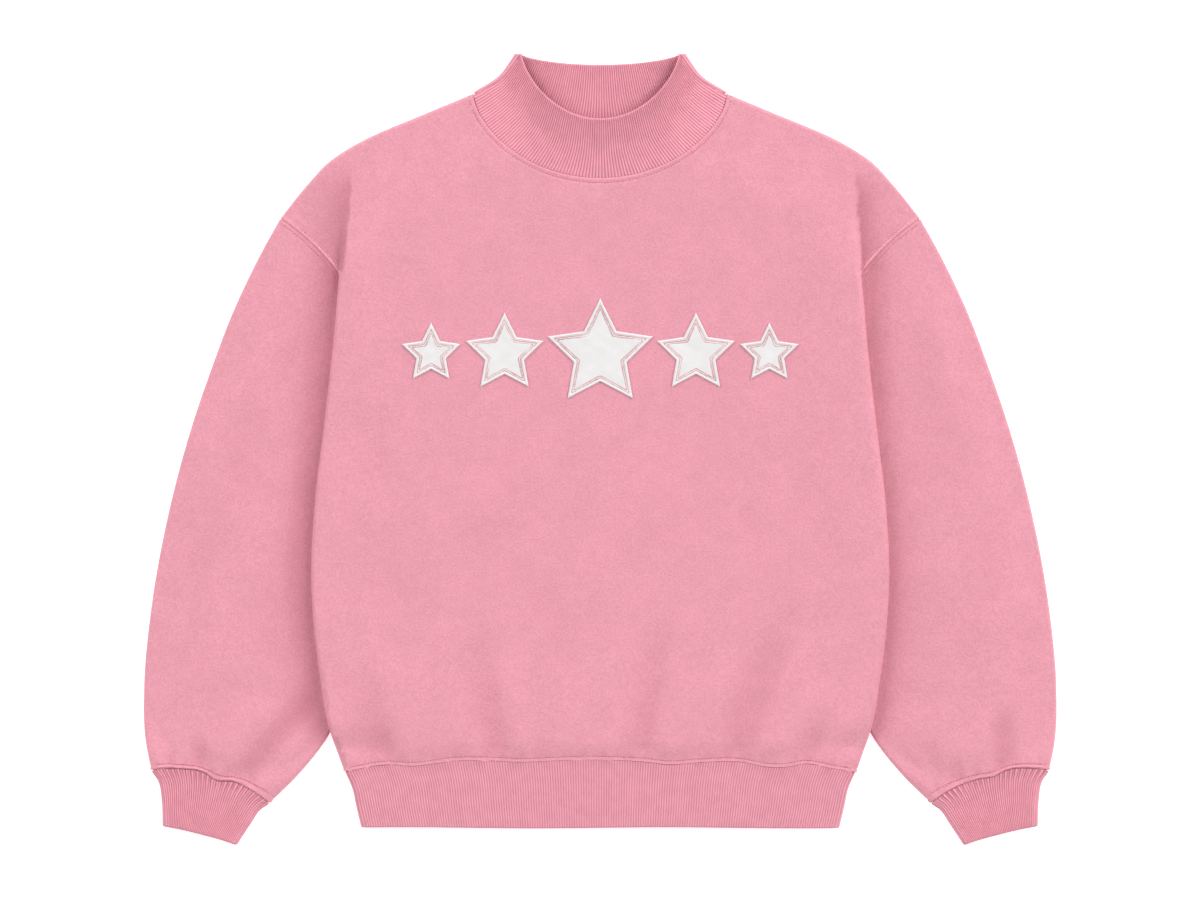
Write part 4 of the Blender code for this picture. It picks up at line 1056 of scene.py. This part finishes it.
def hem_rib():
    """The hem rib, a flattened tube right across the body."""
    radius = (HEM_SPACE + RIB) / 2
    levels = rib_levels(12, 0.04)
    rows = np.array([hem_ring(share, radius) for share in levels])
    rib = rib_waves(rows[-1], HEM_PITCH)[1]
    x, y = rows[..., 0], rows[..., 1]
    upper = rows[..., 2] > RIB + radius
    down = levels[:, None] * HEM_HEIGHT
    fade = ease((down + 3.0) / 20.0) * 0.4 + 0.6
    press = 0.5 * fold_depth(FRONT_FOLDS, x, np.maximum(y, -277.0)) * bump(down, 26.0)
    rows[..., 2] += upper * (0.30 * unevenness(1.6 * x, y, 2.9) * fade - np.maximum(press, 0.0))
    # Painted shade in uneven waves along the top of the rib, just under the seam.
    hollow = 0.55 * painted_gather_shade(x, 4.1, 1.9, 17.0, 12.3) * bump(down - 1.0, 4.0)
    return ribbed_mesh(rows, levels, HEM_HEIGHT, rib, hollow)


def even_angles(curve, count):
    """Angles of a quarter turn at which a curve's points lie evenly, but for the last one."""
    fine = np.linspace(0.0, np.pi / 2, 600)
    length = run(curve(fine))
    return np.interp(np.linspace(0.0, length[-1], count), length, fine)[:-1]


def collar_part(angles, share, corner, seam_y, seam_power, edge_y, edge_power):
    """Plan of the collar's front or back at a level, and the places on its seam."""
    base = neck_line(seam_y, seam_power, 200)
    places = np.linspace(0.0, np.pi / 2, len(base))
    seam = np.column_stack([np.interp(angles, places, values) for values in base.T])
    bend = 1.0 - np.cos(angles) ** mix(seam_power, edge_power, share)
    y = mix(mix(seam_y - SEAM, edge_y, share), corner[1], bend)
    free = np.column_stack([corner[0] * np.sin(angles), y])
    return mix(seam, free, min(1.0, share * COLLAR_SPREAD)), seam


def collar_level(share, front_angles, back_angles, arc):
    """Half a ring of the collar, from the middle of the front round to the middle of the back."""
    side_y = mix(COLLAR_SIDE[0].y, COLLAR_SIDE[-1].y, share)
    fold = mix(SHOULDER_FOLD - 0.2, (NECK_SPACE + RIB) / 2 * COLLAR_CROWN, share)
    corner = (reach(COLLAR_SIDE, side_y) - RIB / 2 - fold, side_y)
    front, seam = collar_part(front_angles, share, corner, NECK_FRONT, FRONT_NECK_POWER,
                              COLLAR_FRONT, COLLAR_EDGE_POWER)
    crown = mix(RIB / 2 + 2 * fold, RIB * 1.5 + NECK_SPACE,
                np.maximum(np.cos(front_angles), 0.0) ** COLLAR_CROWN_POWER)
    z = mix(plain_body_height(seam[:, 0], seam[:, 1]), crown, ease(share))
    y = np.full(len(arc), side_y + SEAM / 2 * max(0.0, 1.0 - 4.0 * share))
    side = np.column_stack([corner[0] + fold * np.cos(arc), y,
                            RIB / 2 + fold + fold * np.sin(arc)])
    back = collar_part(back_angles, share, corner, NECK_BACK, BACK_NECK_POWER,
                       COLLAR_BACK, BACK_NECK_POWER)[0]
    return np.concatenate([np.column_stack([front, z]), side,
                           np.column_stack([back, np.full(len(back), RIB / 2)])])


def collar():
    """The collar, a short standing tube pressed flat, its front edge curved below the back."""
    levels = rib_levels(19, 0.05)
    arc = np.linspace(np.pi / 2, -np.pi / 2, 41)
    start = np.zeros(1)
    front_angles = even_angles(
        lambda angles: collar_level(0.5, angles, start, arc)[:len(angles)], COLLAR_COLUMNS[0])
    back_angles = even_angles(
        lambda angles: collar_level(0.5, start, angles, arc)[-len(angles):],
        COLLAR_COLUMNS[1])[::-1]
    half = np.array([collar_level(share, front_angles, back_angles, arc) for share in levels])
    rows = np.concatenate([half, half[:, -2:0:-1] * MIRROR], axis=1)
    rib = rib_waves(rows[len(levels) // 2], COLLAR_PITCH)[1]
    x, y = rows[..., 0], rows[..., 1]
    upper = ease(rows[..., 2] / RIB - 1.4)
    up = levels[:, None]
    rows[..., 2] += upper * np.sin(np.pi * up) * (0.8 + 0.3 * unevenness(2.0 * x, y, 0.4))
    # Painted shading: the front is painted lighter towards its seam and its sides and darker going
    # up, but lighter along its very top edge; the back's inside is painted darker towards the
    # corners, with a painted shadow just above the front's rim.
    across = np.abs(x) / COLLAR_SIDE[-1].x
    front = mix(-0.95, 0.34, up) - 0.5 * ease(3.0 * across - 2.0) - 0.9 * ease((up - 0.95) / 0.03)
    rim = rows[-1, :len(front_angles)]
    over_rim = y - np.interp(np.abs(x), rim[:, 0], rim[:, 1])
    back = 0.40 * ease(2.0 * across - 0.6) - 0.45 + 0.75 * bump(over_rim, 9.0)
    hollow = np.where(upper > 0.0, front, back)
    return ribbed_mesh(rows, levels, COLLAR_HEIGHT, rib, hollow, inside=1.0)


# ---- stars

def star_outline(motif, inward, steps):
    """Points along a star's edge, moved inwards, with even steps on each of its ten sides."""
    corners = []
    for corner in range(10):
        share, shrink = (STAR_WAIST, 1.25) if corner % 2 else (1.0, 2.1)
        radius = motif.radius * share - inward * shrink
        turn = np.pi / 2 - corner * np.pi / 5
        corners.append([motif.x + radius * np.cos(turn), STAR_HEIGHT + radius * np.sin(turn)])
    shares = np.linspace(0.0, 1.0, steps, endpoint=False)[:, None]
    corners = looped(np.array(corners))
    return np.concatenate([mix(start, end, shares) for start, end in zip(corners, corners[1:])])


def star(motif):
    """A twill star that lies on the chest, with a raised edge of close stitches."""
    lift = CLOTH / 2 + SEAM + APPLIQUE / 2
    outline = star_outline(motif, 0.0, max(int(motif.radius / 3.2), 7))
    centre = np.array([motif.x, STAR_HEIGHT])
    shares = np.concatenate([dense([0.02, 0.80], 2.4 / motif.radius), 1.0 - STAR_RINGS])
    # The grid runs anticlockwise, as its filled-in first row needs.
    plan = (centre + (outline - centre)[None] * shares[:, None, None])[:, ::-1]
    x, y = plan[..., 0], plan[..., 1]
    inside = gap_to(looped(star_outline(motif, 0.0, 1)), x, y)
    pucker = 0.16 * np.sin(x / 3.3 + 1.3 * np.sin(y / 5.0)) * np.sin(y / 4.1 + motif.x)
    pucker += 0.20 * np.sin(x / 7.5 + y / 11.0 + motif.x)
    rows = with_height(plan, body_height(x, y) + lift + pucker * ease(inside / 6.0))
    raised = 0.45 * ease(1.2 - np.abs(inside - 1.3)) - 0.25 * bump(inside - 3.7, 1.2)
    thickness = APPLIQUE * np.clip(0.25 + inside / 0.8, 0.0, 1.0)
    return cloth_mesh(rows, thickness, closed=True, outer=raised, capped=True, flip=True,
                      shades={"edge": bump(inside - 1.2, 1.2)})


# ---- nodes

def wire(tree, kind, values=None, output=0, **settings):
    """One output of a new node, with its settings, and with its inputs linked or set."""
    node = tree.nodes.new(kind)
    for name, value in settings.items():
        setattr(node, name, value)
    for label, value in (values or {}).items():
        if isinstance(value, bpy.types.NodeSocket):
            tree.links.new(value, node.inputs[label])
        else:
            node.inputs[label].default_value = value
    return node.outputs[output]


def math(tree, operation, first, second):
    """One sum of two links or numbers."""
    return wire(tree, "ShaderNodeMath", {0: first, 1: second}, operation=operation)


def node_group(name, kind, inputs, outputs):
    """An empty group with named inputs and outputs, what goes in, and the node that ends it."""
    tree = bpy.data.node_groups.new(name, kind)
    for label, (socket_type, value) in inputs.items():
        socket = tree.interface.new_socket(label, in_out="INPUT",
                                           socket_type="NodeSocket" + socket_type)
        if value is not None:
            socket.default_value = value
    for label, socket_type in outputs.items():
        tree.interface.new_socket(label, in_out="OUTPUT", socket_type="NodeSocket" + socket_type)
    return tree, tree.nodes.new("NodeGroupInput").outputs, tree.nodes.new("NodeGroupOutput")


# ---- stitches

def stitch_tree():
    """Geometry nodes that lay one small rounded stitch along the thread at each point."""
    tree, given, end = node_group("stitch_row", "GeometryNodeTree", {
        "Geometry": ("Geometry", None), "Length": ("Float", 2.2 * MM),
        "Width": ("Float", STITCH_WIDTH * MM), "Height": ("Float", STITCH_HEIGHT * MM),
        "Variation": ("Float", 0.18), "Seed": ("Int", 3), "Thread": ("Material", None),
    }, {"Geometry": "Geometry"})
    thread = wire(tree, "GeometryNodeMeshIcoSphere", {"Radius": 0.5, "Subdivisions": 1}, "Mesh")
    size = wire(tree, "ShaderNodeCombineXYZ",
                {"X": given["Length"], "Y": given["Width"], "Z": given["Height"]})
    spread = wire(tree, "FunctionNodeRandomValue", {
        2: math(tree, "SUBTRACT", 1.0, given["Variation"]),
        3: math(tree, "ADD", 1.0, given["Variation"]), "Seed": given["Seed"],
    }, 1, data_type="FLOAT")
    scale = wire(tree, "ShaderNodeVectorMath", {0: size, "Scale": spread}, operation="SCALE")
    along = wire(tree, "GeometryNodeInputNamedAttribute", {"Name": "along"}, "Attribute",
                 data_type="FLOAT_VECTOR")
    turn = wire(tree, "FunctionNodeAlignRotationToVector", {"Vector": along}, "Rotation", axis="X")
    stitches = wire(tree, "GeometryNodeInstanceOnPoints", {
        "Points": given["Geometry"], "Instance": thread, "Rotation": turn, "Scale": scale})
    real = wire(tree, "GeometryNodeRealizeInstances", {"Geometry": stitches})
    smooth = wire(tree, "GeometryNodeSetShadeSmooth", {"Geometry": real})
    finished = wire(tree, "GeometryNodeSetMaterial",
                    {"Geometry": smooth, "Material": given["Thread"]})
    tree.links.new(finished, end.inputs["Geometry"])
    return tree


def stitch_row(line, pitch):
    """Places and directions of stitches along a line of (x, y, z) points."""
    spots = even(line, max(int(run(line)[-1] / pitch), 2) + 1)
    return (spots[:-1] + spots[1:]) / 2, unit(spots[1:] - spots[:-1])


def stitch_points(line, height, pitch, lift):
    """Stitches along a line of (x, y) points on a cloth whose middle surface is given."""
    x, y = even(line, int(run(line)[-1] / 0.8)).T
    return stitch_row(np.column_stack([x, y, height(x, y) + CLOTH / 2 + lift]), pitch)


def neck_stitches(pitch):
    line = inset(neck_edge(NECK_FRONT, FRONT_NECK_POWER, 120), NECK_STITCH_AWAY)
    line = line[(line[:, 0] >= 0.0) & (distance(SHOULDER_LINE, *line.T) > 1.2)]
    whole = np.concatenate([line[::-1] * MIRROR[:2], line])
    return [stitch_points(whole, front_height, pitch, -STITCH_SINK)]


def armhole_stitches(pitch):
    def arm_top(x, y):
        return np.maximum(arm_height(x, y), ARM_EDGE)

    rows = []
    for side in (1.0, -1.0):
        for away, height in ((STITCH_AWAY, front_height), (-STITCH_AWAY, arm_top)):
            line = inset(path(ARMHOLE[:4], 80), away)
            line = line[line[:, 1] < ARMHOLE_STITCH_TOP] * np.array([side, 1.0])
            rows.append(stitch_points(line, height, pitch, -STITCH_SINK))
    return rows


def hem_stitches(pitch):
    x = np.linspace(-HEM_STITCH_END, HEM_STITCH_END, 300)
    line = np.column_stack([x, front_seam(x) + STITCH_AWAY])
    return [stitch_points(line, front_height, pitch, -2.0 * STITCH_SINK)]


def cuff_stitches(pitch):
    rows = []
    for arm in (LEFT, RIGHT):
        line = sleeve_rows(arm)[0][-4, SLEEVE_COLUMNS.arc:][:SLEEVE_COLUMNS.top]
        line = line + np.array([0.0, 0.0, CLOTH / 2 + 0.2])
        rows.append(stitch_row(line * np.array([arm.side, 1.0, 1.0]), pitch))
    return rows


def star_stitches(pitch):
    return [stitch_points(looped(star_outline(motif, inward, 12)), body_height, pitch,
                          SEAM + APPLIQUE - STITCH_SINK)
            for motif in STARS for inward in STAR_STITCH_ROWS]


def add_stitches(thread, rows, material, tree):
    """One object of stitches along several rows, each given as its places and directions."""
    places, along = (np.concatenate(values) for values in zip(*rows))
    mesh = bpy.data.meshes.new(thread.name + "_points")
    mesh.from_pydata((places * MM).tolist(), [], [])
    layer = mesh.attributes.new("along", "FLOAT_VECTOR", "POINT")
    layer.data.foreach_set("vector", along.ravel().astype(np.float32))
    seedling = put(mesh.name, mesh)
    modifier = seedling.modifiers.new("stitches", "NODES")
    modifier.node_group = tree
    values = {"Length": thread.length * MM, "Width": thread.width * MM,
              "Height": STITCH_HEIGHT * MM, "Seed": thread.seed, "Thread": material}
    for item in tree.interface.items_tree:
        if item.in_out == "INPUT" and item.name in values:
            modifier[item.identifier] = values[item.name]
    bpy.context.view_layer.update()
    graph = bpy.context.evaluated_depsgraph_get()
    finished = bpy.data.meshes.new_from_object(seedling.evaluated_get(graph))
    bpy.data.objects.remove(seedling, do_unlink=True)
    bpy.data.meshes.remove(mesh)
    finished.materials.clear()
    add_piece(thread.name, finished, material, ())


# ---- materials

WHITE = (1.0, 1.0, 1.0, 1.0)
GREY = (0.5, 0.5, 0.5, 1.0)
PAINTED_SHADE_TINT = (0.56, 0.36, 0.40, 1.0)  # what a cloth's colour is multiplied by where shade is painted on


def noise(tree, scale, detail, roughness):
    """Noise on object coordinates."""
    place = wire(tree, "ShaderNodeTexCoord", output="Object")
    return wire(tree, "ShaderNodeTexNoise", {"Vector": place, "Scale": scale, "Detail": detail,
                                             "Roughness": roughness}, "Fac")


def stretch(tree, value, low, high, to_low=0.0, to_high=1.0):
    """A value stretched from one range to another."""
    return wire(tree, "ShaderNodeMapRange", {
        "Value": value, "From Min": low, "From Max": high, "To Min": to_low, "To Max": to_high,
    }, "Result", interpolation_type="SMOOTHSTEP")


def attribute(tree, name):
    return wire(tree, "ShaderNodeAttribute", output="Fac", attribute_name=name)


def blend(tree, factor, first, second, how="MIX"):
    """One colour into another by a factor."""
    return wire(tree, "ShaderNodeMix", {0: factor, 6: first, 7: second}, 2, data_type="RGBA",
                blend_type=how)


def brighten(tree, colour, value):
    """A colour with its brightness multiplied."""
    return wire(tree, "ShaderNodeHueSaturation", {"Color": colour, "Value": value}, "Color")


def blotched(tree, colour, scale, detail, roughness, dark, light):
    """A colour whose brightness varies in soft blotches."""
    blotch = noise(tree, scale, detail, roughness)
    return brighten(tree, colour, stretch(tree, blotch, 0.3, 0.7, dark, light))


def weighed(tree, first, share, second, other_share):
    """Two values added by their shares."""
    return math(tree, "ADD", math(tree, "MULTIPLY", first, share),
                math(tree, "MULTIPLY", second, other_share))


def pressed_and_painted_shade(tree, colour, given):
    """Darken a colour with painted shade where its shading value is above 0, and lighten it a
    little with a painted highlight where it is below 0.
    """
    hollow = attribute(tree, "hollow")
    depth = math(tree, "MULTIPLY", math(tree, "MAXIMUM", hollow, 0.0), given["Painted Shade Strength"])
    deep = blend(tree, depth, colour, given["Painted Shade Tint"], "MULTIPLY")
    lift = math(tree, "MULTIPLY", math(tree, "MINIMUM", hollow, 0.0), -0.14)
    return brighten(tree, deep, math(tree, "ADD", lift, 1.0))


def cloth_group(name, inputs):
    """An empty shader group of a cloth, what goes in, and the node that ends it."""
    return node_group(name, "ShaderNodeTree", inputs, {"Color": "Color", "Normal": "Vector"})


def finish_group(tree, end, colour, height, strength, depth):
    """End a cloth's group with its colour and with the normal of its relief."""
    normal = wire(tree, "ShaderNodeBump",
                  {"Height": height, "Strength": strength, "Distance": depth * MM}, "Normal")
    tree.links.new(colour, end.inputs["Color"])
    tree.links.new(normal, end.inputs["Normal"])
    return tree


def nap_group():
    """Brushed fleece: a felted grain, soft blotches and short fuzz, with painted shade and painted
    highlights.
    """
    tree, given, end = cloth_group("brushed_nap", {
        "Light": ("Color", WHITE), "Deep": ("Color", GREY), "Grain Scale": ("Float", 560.0),
        "Painted Shade Tint": ("Color", PAINTED_SHADE_TINT), "Painted Shade Strength": ("Float", 0.62),
        "Blotch Scale": ("Float", 42.0), "Fuzz Strength": ("Float", 0.6)})
    shade = weighed(tree, noise(tree, given["Grain Scale"], 4.0, 0.62), 0.8,
                    noise(tree, 150.0, 3.0, 0.6), 0.2)
    colour = blend(tree, stretch(tree, shade, 0.36, 0.64), given["Deep"], given["Light"])
    colour = blotched(tree, colour, given["Blotch Scale"], 2.0, 0.5, 0.972, 1.015)
    height = weighed(tree, shade, 1.0, noise(tree, 1900.0, 3.0, 0.7), 0.35)
    return finish_group(tree, end, pressed_and_painted_shade(tree, colour, given), height,
                        given["Fuzz Strength"], 0.9)


def knit_group():
    """Rib knit: rib tops painted lighter and the grooves between them painted darker, as light and
    shade, and small loops along them.
    """
    tree, given, end = cloth_group("rib_knit", {
        "Rib": ("Color", WHITE), "Groove": ("Color", GREY), "Painted Shade Tint": ("Color", PAINTED_SHADE_TINT),
        "Painted Shade Strength": ("Float", 0.5), "Loop Scale": ("Float", 1100.0),
        "Loop Strength": ("Float", 0.5)})
    loops = noise(tree, given["Loop Scale"], 3.0, 0.6)
    uneven = math(tree, "MULTIPLY", math(tree, "SUBTRACT", loops, 0.5), 0.9)
    groove = stretch(tree, math(tree, "ADD", attribute(tree, "rib"), uneven), 0.2, 1.0)
    colour = blend(tree, groove, given["Rib"], given["Groove"])
    colour = blotched(tree, colour, 90.0, 2.0, 0.5, 0.965, 1.035)
    return finish_group(tree, end, pressed_and_painted_shade(tree, colour, given), loops,
                        given["Loop Strength"], 0.5)


def twill_group():
    """Twill with fine slanting lines and a stitched edge."""
    tree, given, end = cloth_group("fine_twill", {
        "Cloth": ("Color", WHITE), "Edge": ("Color", WHITE), "Line Scale": ("Float", 420.0)})
    place = wire(tree, "ShaderNodeTexCoord", output="Object")
    lines = wire(tree, "ShaderNodeTexWave", {
        "Vector": place, "Scale": given["Line Scale"], "Distortion": 0.6, "Detail": 1.0,
    }, "Fac", wave_type="BANDS", bands_direction="DIAGONAL")
    edge = stretch(tree, attribute(tree, "edge"), 0.2, 0.8)
    colour = blend(tree, edge, given["Cloth"], given["Edge"])
    colour = blotched(tree, colour, 120.0, 3.0, 0.6, 0.975, 1.02)
    height = weighed(tree, lines, 0.5, noise(tree, 700.0, 3.0, 0.6), 0.5)
    return finish_group(tree, end, colour, height, 0.35, 0.25)


Look = namedtuple("Look", "name group colour factors roughness sheen sheen_roughness")

LOOKS = {
    "fleece": Look("brushed_fleece", "nap", "fleece_colour", {
        "Light": (1.05, 1.08, 1.08), "Deep": (0.94, 0.89, 0.90)}, 0.95, 0.30, 0.55),
    # The rib's tints paint its tops lighter and its grooves darker, as light and shade.
    "rib": Look("ribbed_knit", "knit", "rib_colour", {
        "Rib": (1.07, 1.15, 1.14), "Groove": (0.80, 0.70, 0.72)}, 0.9, 0.20, 0.5),
    "twill": Look("white_twill", "twill", "twill_colour", {"Cloth": 1.0, "Edge": 1.02},
                  0.7, 0.10, 0.4),
    "seam_thread": Look("pink_thread", "knit", "fleece_colour", {
        "Rib": (0.72, 0.50, 0.56), "Groove": (0.58, 0.34, 0.40)}, 0.75, 0.1, 0.4),
    "star_thread": Look("pale_thread", "knit", "star_thread_colour", {
        "Rib": 1.0, "Groove": 0.9}, 0.7, 0.1, 0.4),
}


def cloth_material(look, group):
    """A cloth whose colour and relief come from a shader group."""
    material = bpy.data.materials.new(look.name)
    material.use_nodes = True
    tree = material.node_tree
    node = tree.nodes.new("ShaderNodeGroup")
    node.node_tree = group
    colour = np.array(getattr(bpy.context.scene.sweatshirt, look.colour))
    tints = {label: (*(colour * np.array(factor)), 1.0) for label, factor in look.factors.items()}
    for label, tint in tints.items():
        node.inputs[label].default_value = tint
    shader = tree.nodes["Principled BSDF"]
    tree.links.new(node.outputs["Color"], shader.inputs["Base Color"])
    tree.links.new(node.outputs["Normal"], shader.inputs["Normal"])
    set_inputs(shader, {"Roughness": look.roughness, "Metallic": 0.0, "Sheen Weight": look.sheen,
                        "Sheen Roughness": look.sheen_roughness, "Specular IOR Level": 0.2})
    material.diffuse_color = next(iter(tints.values()))
    return material


def set_inputs(node, values):
    for label, value in values.items():
        node.inputs[label].default_value = value


def palette():
    """Every material of the garment, made once."""
    if LOOKS["fleece"].name not in bpy.data.materials:
        groups = {"nap": nap_group(), "knit": knit_group(), "twill": twill_group()}
        for look in LOOKS.values():
            cloth_material(look, groups[look.group])
    return {label: bpy.data.materials[look.name] for label, look in LOOKS.items()}


# ---- controls

Piece = namedtuple("Piece", "name make cloth solid cut rests_on", defaults=[()])
Thread = namedtuple("Thread", "name rows look slot seed pitch length width",
                    defaults=[None, STITCH_LENGTH, STITCH_WIDTH])

# Cuts are in metres and square metres, and go once round a tube or a ring.
SLEEVE_CUT = Cut(0.380, 0.530, 0.150)
CUFF_CUT = Cut(0.200, 0.050, 0.0095)
PIECES = (
    Piece("back", back_panel, "fleece", "back_panel", Cut(0.585, 0.620, 0.300)),
    Piece("front", front_panel, "fleece", "front_panel", Cut(0.585, 0.600, 0.300),
          ("back_panel",)),
    Piece("arm_left", partial(sleeve, LEFT), "fleece", "sleeve_left", SLEEVE_CUT),
    Piece("arm_right", partial(sleeve, RIGHT), "fleece", "sleeve_right", SLEEVE_CUT),
    Piece("wrist_left", partial(cuff, LEFT), "rib", "cuff_left", CUFF_CUT),
    Piece("wrist_right", partial(cuff, RIGHT), "rib", "cuff_right", CUFF_CUT),
    Piece("neck", collar, "rib", "collar", Cut(0.480, 0.060, 0.0270)),
    Piece("hem", hem_rib, "rib", "hem_rib", Cut(0.900, 0.062, 0.0540)),
)
THREADS = (
    Thread("neck_stitches", neck_stitches, "seam_thread", "fleece", 5),
    Thread("armhole_stitches", armhole_stitches, "seam_thread", "fleece", 7),
    Thread("hem_stitches", hem_stitches, "seam_thread", "fleece", 11),
    Thread("cuff_stitches", cuff_stitches, "seam_thread", "fleece", 17),
    Thread("star_stitches", star_stitches, "star_thread", "twill", 13, STAR_STITCH_PITCH,
           2.1, 0.8),
)


def colour_property(name, description, default):
    return bpy.props.FloatVectorProperty(name=name, description=description, subtype="COLOR",
                                         default=default, min=0.0, max=1.0)


def length_property(name, description, default, low, high):
    return bpy.props.FloatProperty(name=name, description=description, unit="LENGTH",
                                   default=default, min=low, max=high)


class SweatshirtLooks(bpy.types.PropertyGroup):
    """Colours and sizes that the operators read."""

    fleece_colour: colour_property("Fleece", "Colour of the brushed fleece",
                                   (0.80, 0.335, 0.410))
    rib_colour: colour_property("Rib", "Colour of the rib knit", (0.765, 0.309, 0.384))
    twill_colour: colour_property("Twill", "Colour of the stars", (0.80, 0.775, 0.780))
    star_thread_colour: colour_property(
        "Star thread", "Colour of the thread that outlines the stars", (0.74, 0.33, 0.34))
    stitch_pitch: length_property(
        "Stitch pitch", "Distance from one seam stitch to the next", STITCH_PITCH * MM,
        0.001, 0.01)
    camera_height: length_property(
        "Camera height", "Height of the camera over the surface", 8.0, 1.0, 20.0)
    frame_width: length_property(
        "Frame width", "Width that the camera sees at the garment", 1.08, 0.5, 3.0)


class SWEATSHIRT_OT_cloth(bpy.types.Operator):
    """Body, sleeves, cuffs, collar and hem, with their folds and the swell along their seams"""

    bl_idname = "sweatshirt.cloth"
    bl_label = "Cloth"

    def execute(self, context):
        for piece in PIECES:
            add_piece(piece.name, piece.make(), palette()[piece.cloth],
                      (piece.solid,))
        return {"FINISHED"}


class SWEATSHIRT_OT_stars(bpy.types.Operator):
    """Five white stars in a row across the chest"""

    bl_idname = "sweatshirt.stars"
    bl_label = "Stars"

    def execute(self, context):
        for motif in STARS:
            add_piece(motif.name.replace("_", "_patch_"), star(motif), palette()["twill"],
                      (motif.name,))
        return {"FINISHED"}


class SWEATSHIRT_OT_stitches(bpy.types.Operator):
    """Rows of stitches along the seams and round the stars"""

    bl_idname = "sweatshirt.stitches"
    bl_label = "Stitches"

    def execute(self, context):
        tree = stitch_tree()
        pitch = context.scene.sweatshirt.stitch_pitch / MM
        for thread in THREADS:
            rows = thread.rows(thread.pitch or pitch)
            add_stitches(thread, rows, palette()[thread.look], tree)
        return {"FINISHED"}


class SWEATSHIRT_OT_stage(bpy.types.Operator):
    """Pale floor, soft studio light and the camera straight above"""

    bl_idname = "sweatshirt.stage"
    bl_label = "Stage"

    def execute(self, context):
        scene = context.scene
        mesh = bpy.data.meshes.new("floor")
        corners = ((-1, -1), (1, -1), (1, 1), (-1, 1))
        mesh.from_pydata([(x * FLOOR_HALF, y * FLOOR_HALF, FLOOR_LEVEL * MM)
                          for x, y in corners], [], [(0, 1, 2, 3)])
        floor = put("floor", mesh)
        pale = bpy.data.materials.new("floor")
        pale.use_nodes = True
        set_inputs(pale.node_tree.nodes["Principled BSDF"], {
            "Base Color": (0.93, 0.93, 0.93, 1.0), "Roughness": 1.0, "Emission Color": WHITE,
            "Emission Strength": FLOOR_GLOW, "Specular IOR Level": 0.0})
        mesh.materials.append(pale)

        for sun in SUNS:
            light = bpy.data.lights.new(sun.name, "SUN")
            light.energy = sun.power
            light.angle = np.radians(sun.softness)
            aim = mathutils.Vector(sun.aim).to_track_quat("Z", "Y")
            put(sun.name, light).rotation_euler = aim.to_euler()
        scene.world = bpy.data.worlds.new("studio")
        scene.world.use_nodes = True
        set_inputs(scene.world.node_tree.nodes["Background"], {"Color": WHITE, "Strength": SKY})

        looks = scene.sweatshirt
        lens = bpy.data.cameras.new("camera")
        lens.sensor_width = 36.0
        lens.lens = lens.sensor_width * looks.camera_height / looks.frame_width
        lens.clip_end = 100.0
        scene.camera = put("camera", lens)
        scene.camera.location = (-0.0002, -0.0005, looks.camera_height)
        scene.view_settings.view_transform = "Standard"
        return {"FINISHED"}


class SWEATSHIRT_PT_panel(bpy.types.Panel):
    """Buttons for every part of the garment and for the stage"""

    bl_label = "Sweatshirt"
    bl_idname = "SWEATSHIRT_PT_panel"
    bl_space_type = "VIEW_3D"
    bl_region_type = "UI"
    bl_category = "Sweatshirt"

    def draw(self, context):
        for name in SweatshirtLooks.__annotations__:
            self.layout.prop(context.scene.sweatshirt, name)
        for operator in OPERATORS:
            self.layout.operator(operator.bl_idname)


OPERATORS = (SWEATSHIRT_OT_cloth, SWEATSHIRT_OT_stars, SWEATSHIRT_OT_stitches,
             SWEATSHIRT_OT_stage)


def register():
    for item in (SweatshirtLooks, *OPERATORS, SWEATSHIRT_PT_panel):
        bpy.utils.register_class(item)
    bpy.types.Scene.sweatshirt = bpy.props.PointerProperty(type=SweatshirtLooks)


def unregister():
    del bpy.types.Scene.sweatshirt
    for item in (SWEATSHIRT_PT_panel, *reversed(OPERATORS), SweatshirtLooks):
        bpy.utils.unregister_class(item)


def main():
    """Builds the garment and its stage."""
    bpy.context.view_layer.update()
    register()
    bpy.ops.sweatshirt.cloth()
    bpy.ops.sweatshirt.stars()
    bpy.ops.sweatshirt.stitches()
    bpy.ops.sweatshirt.stage()


if __name__ == "__main__":
    main()
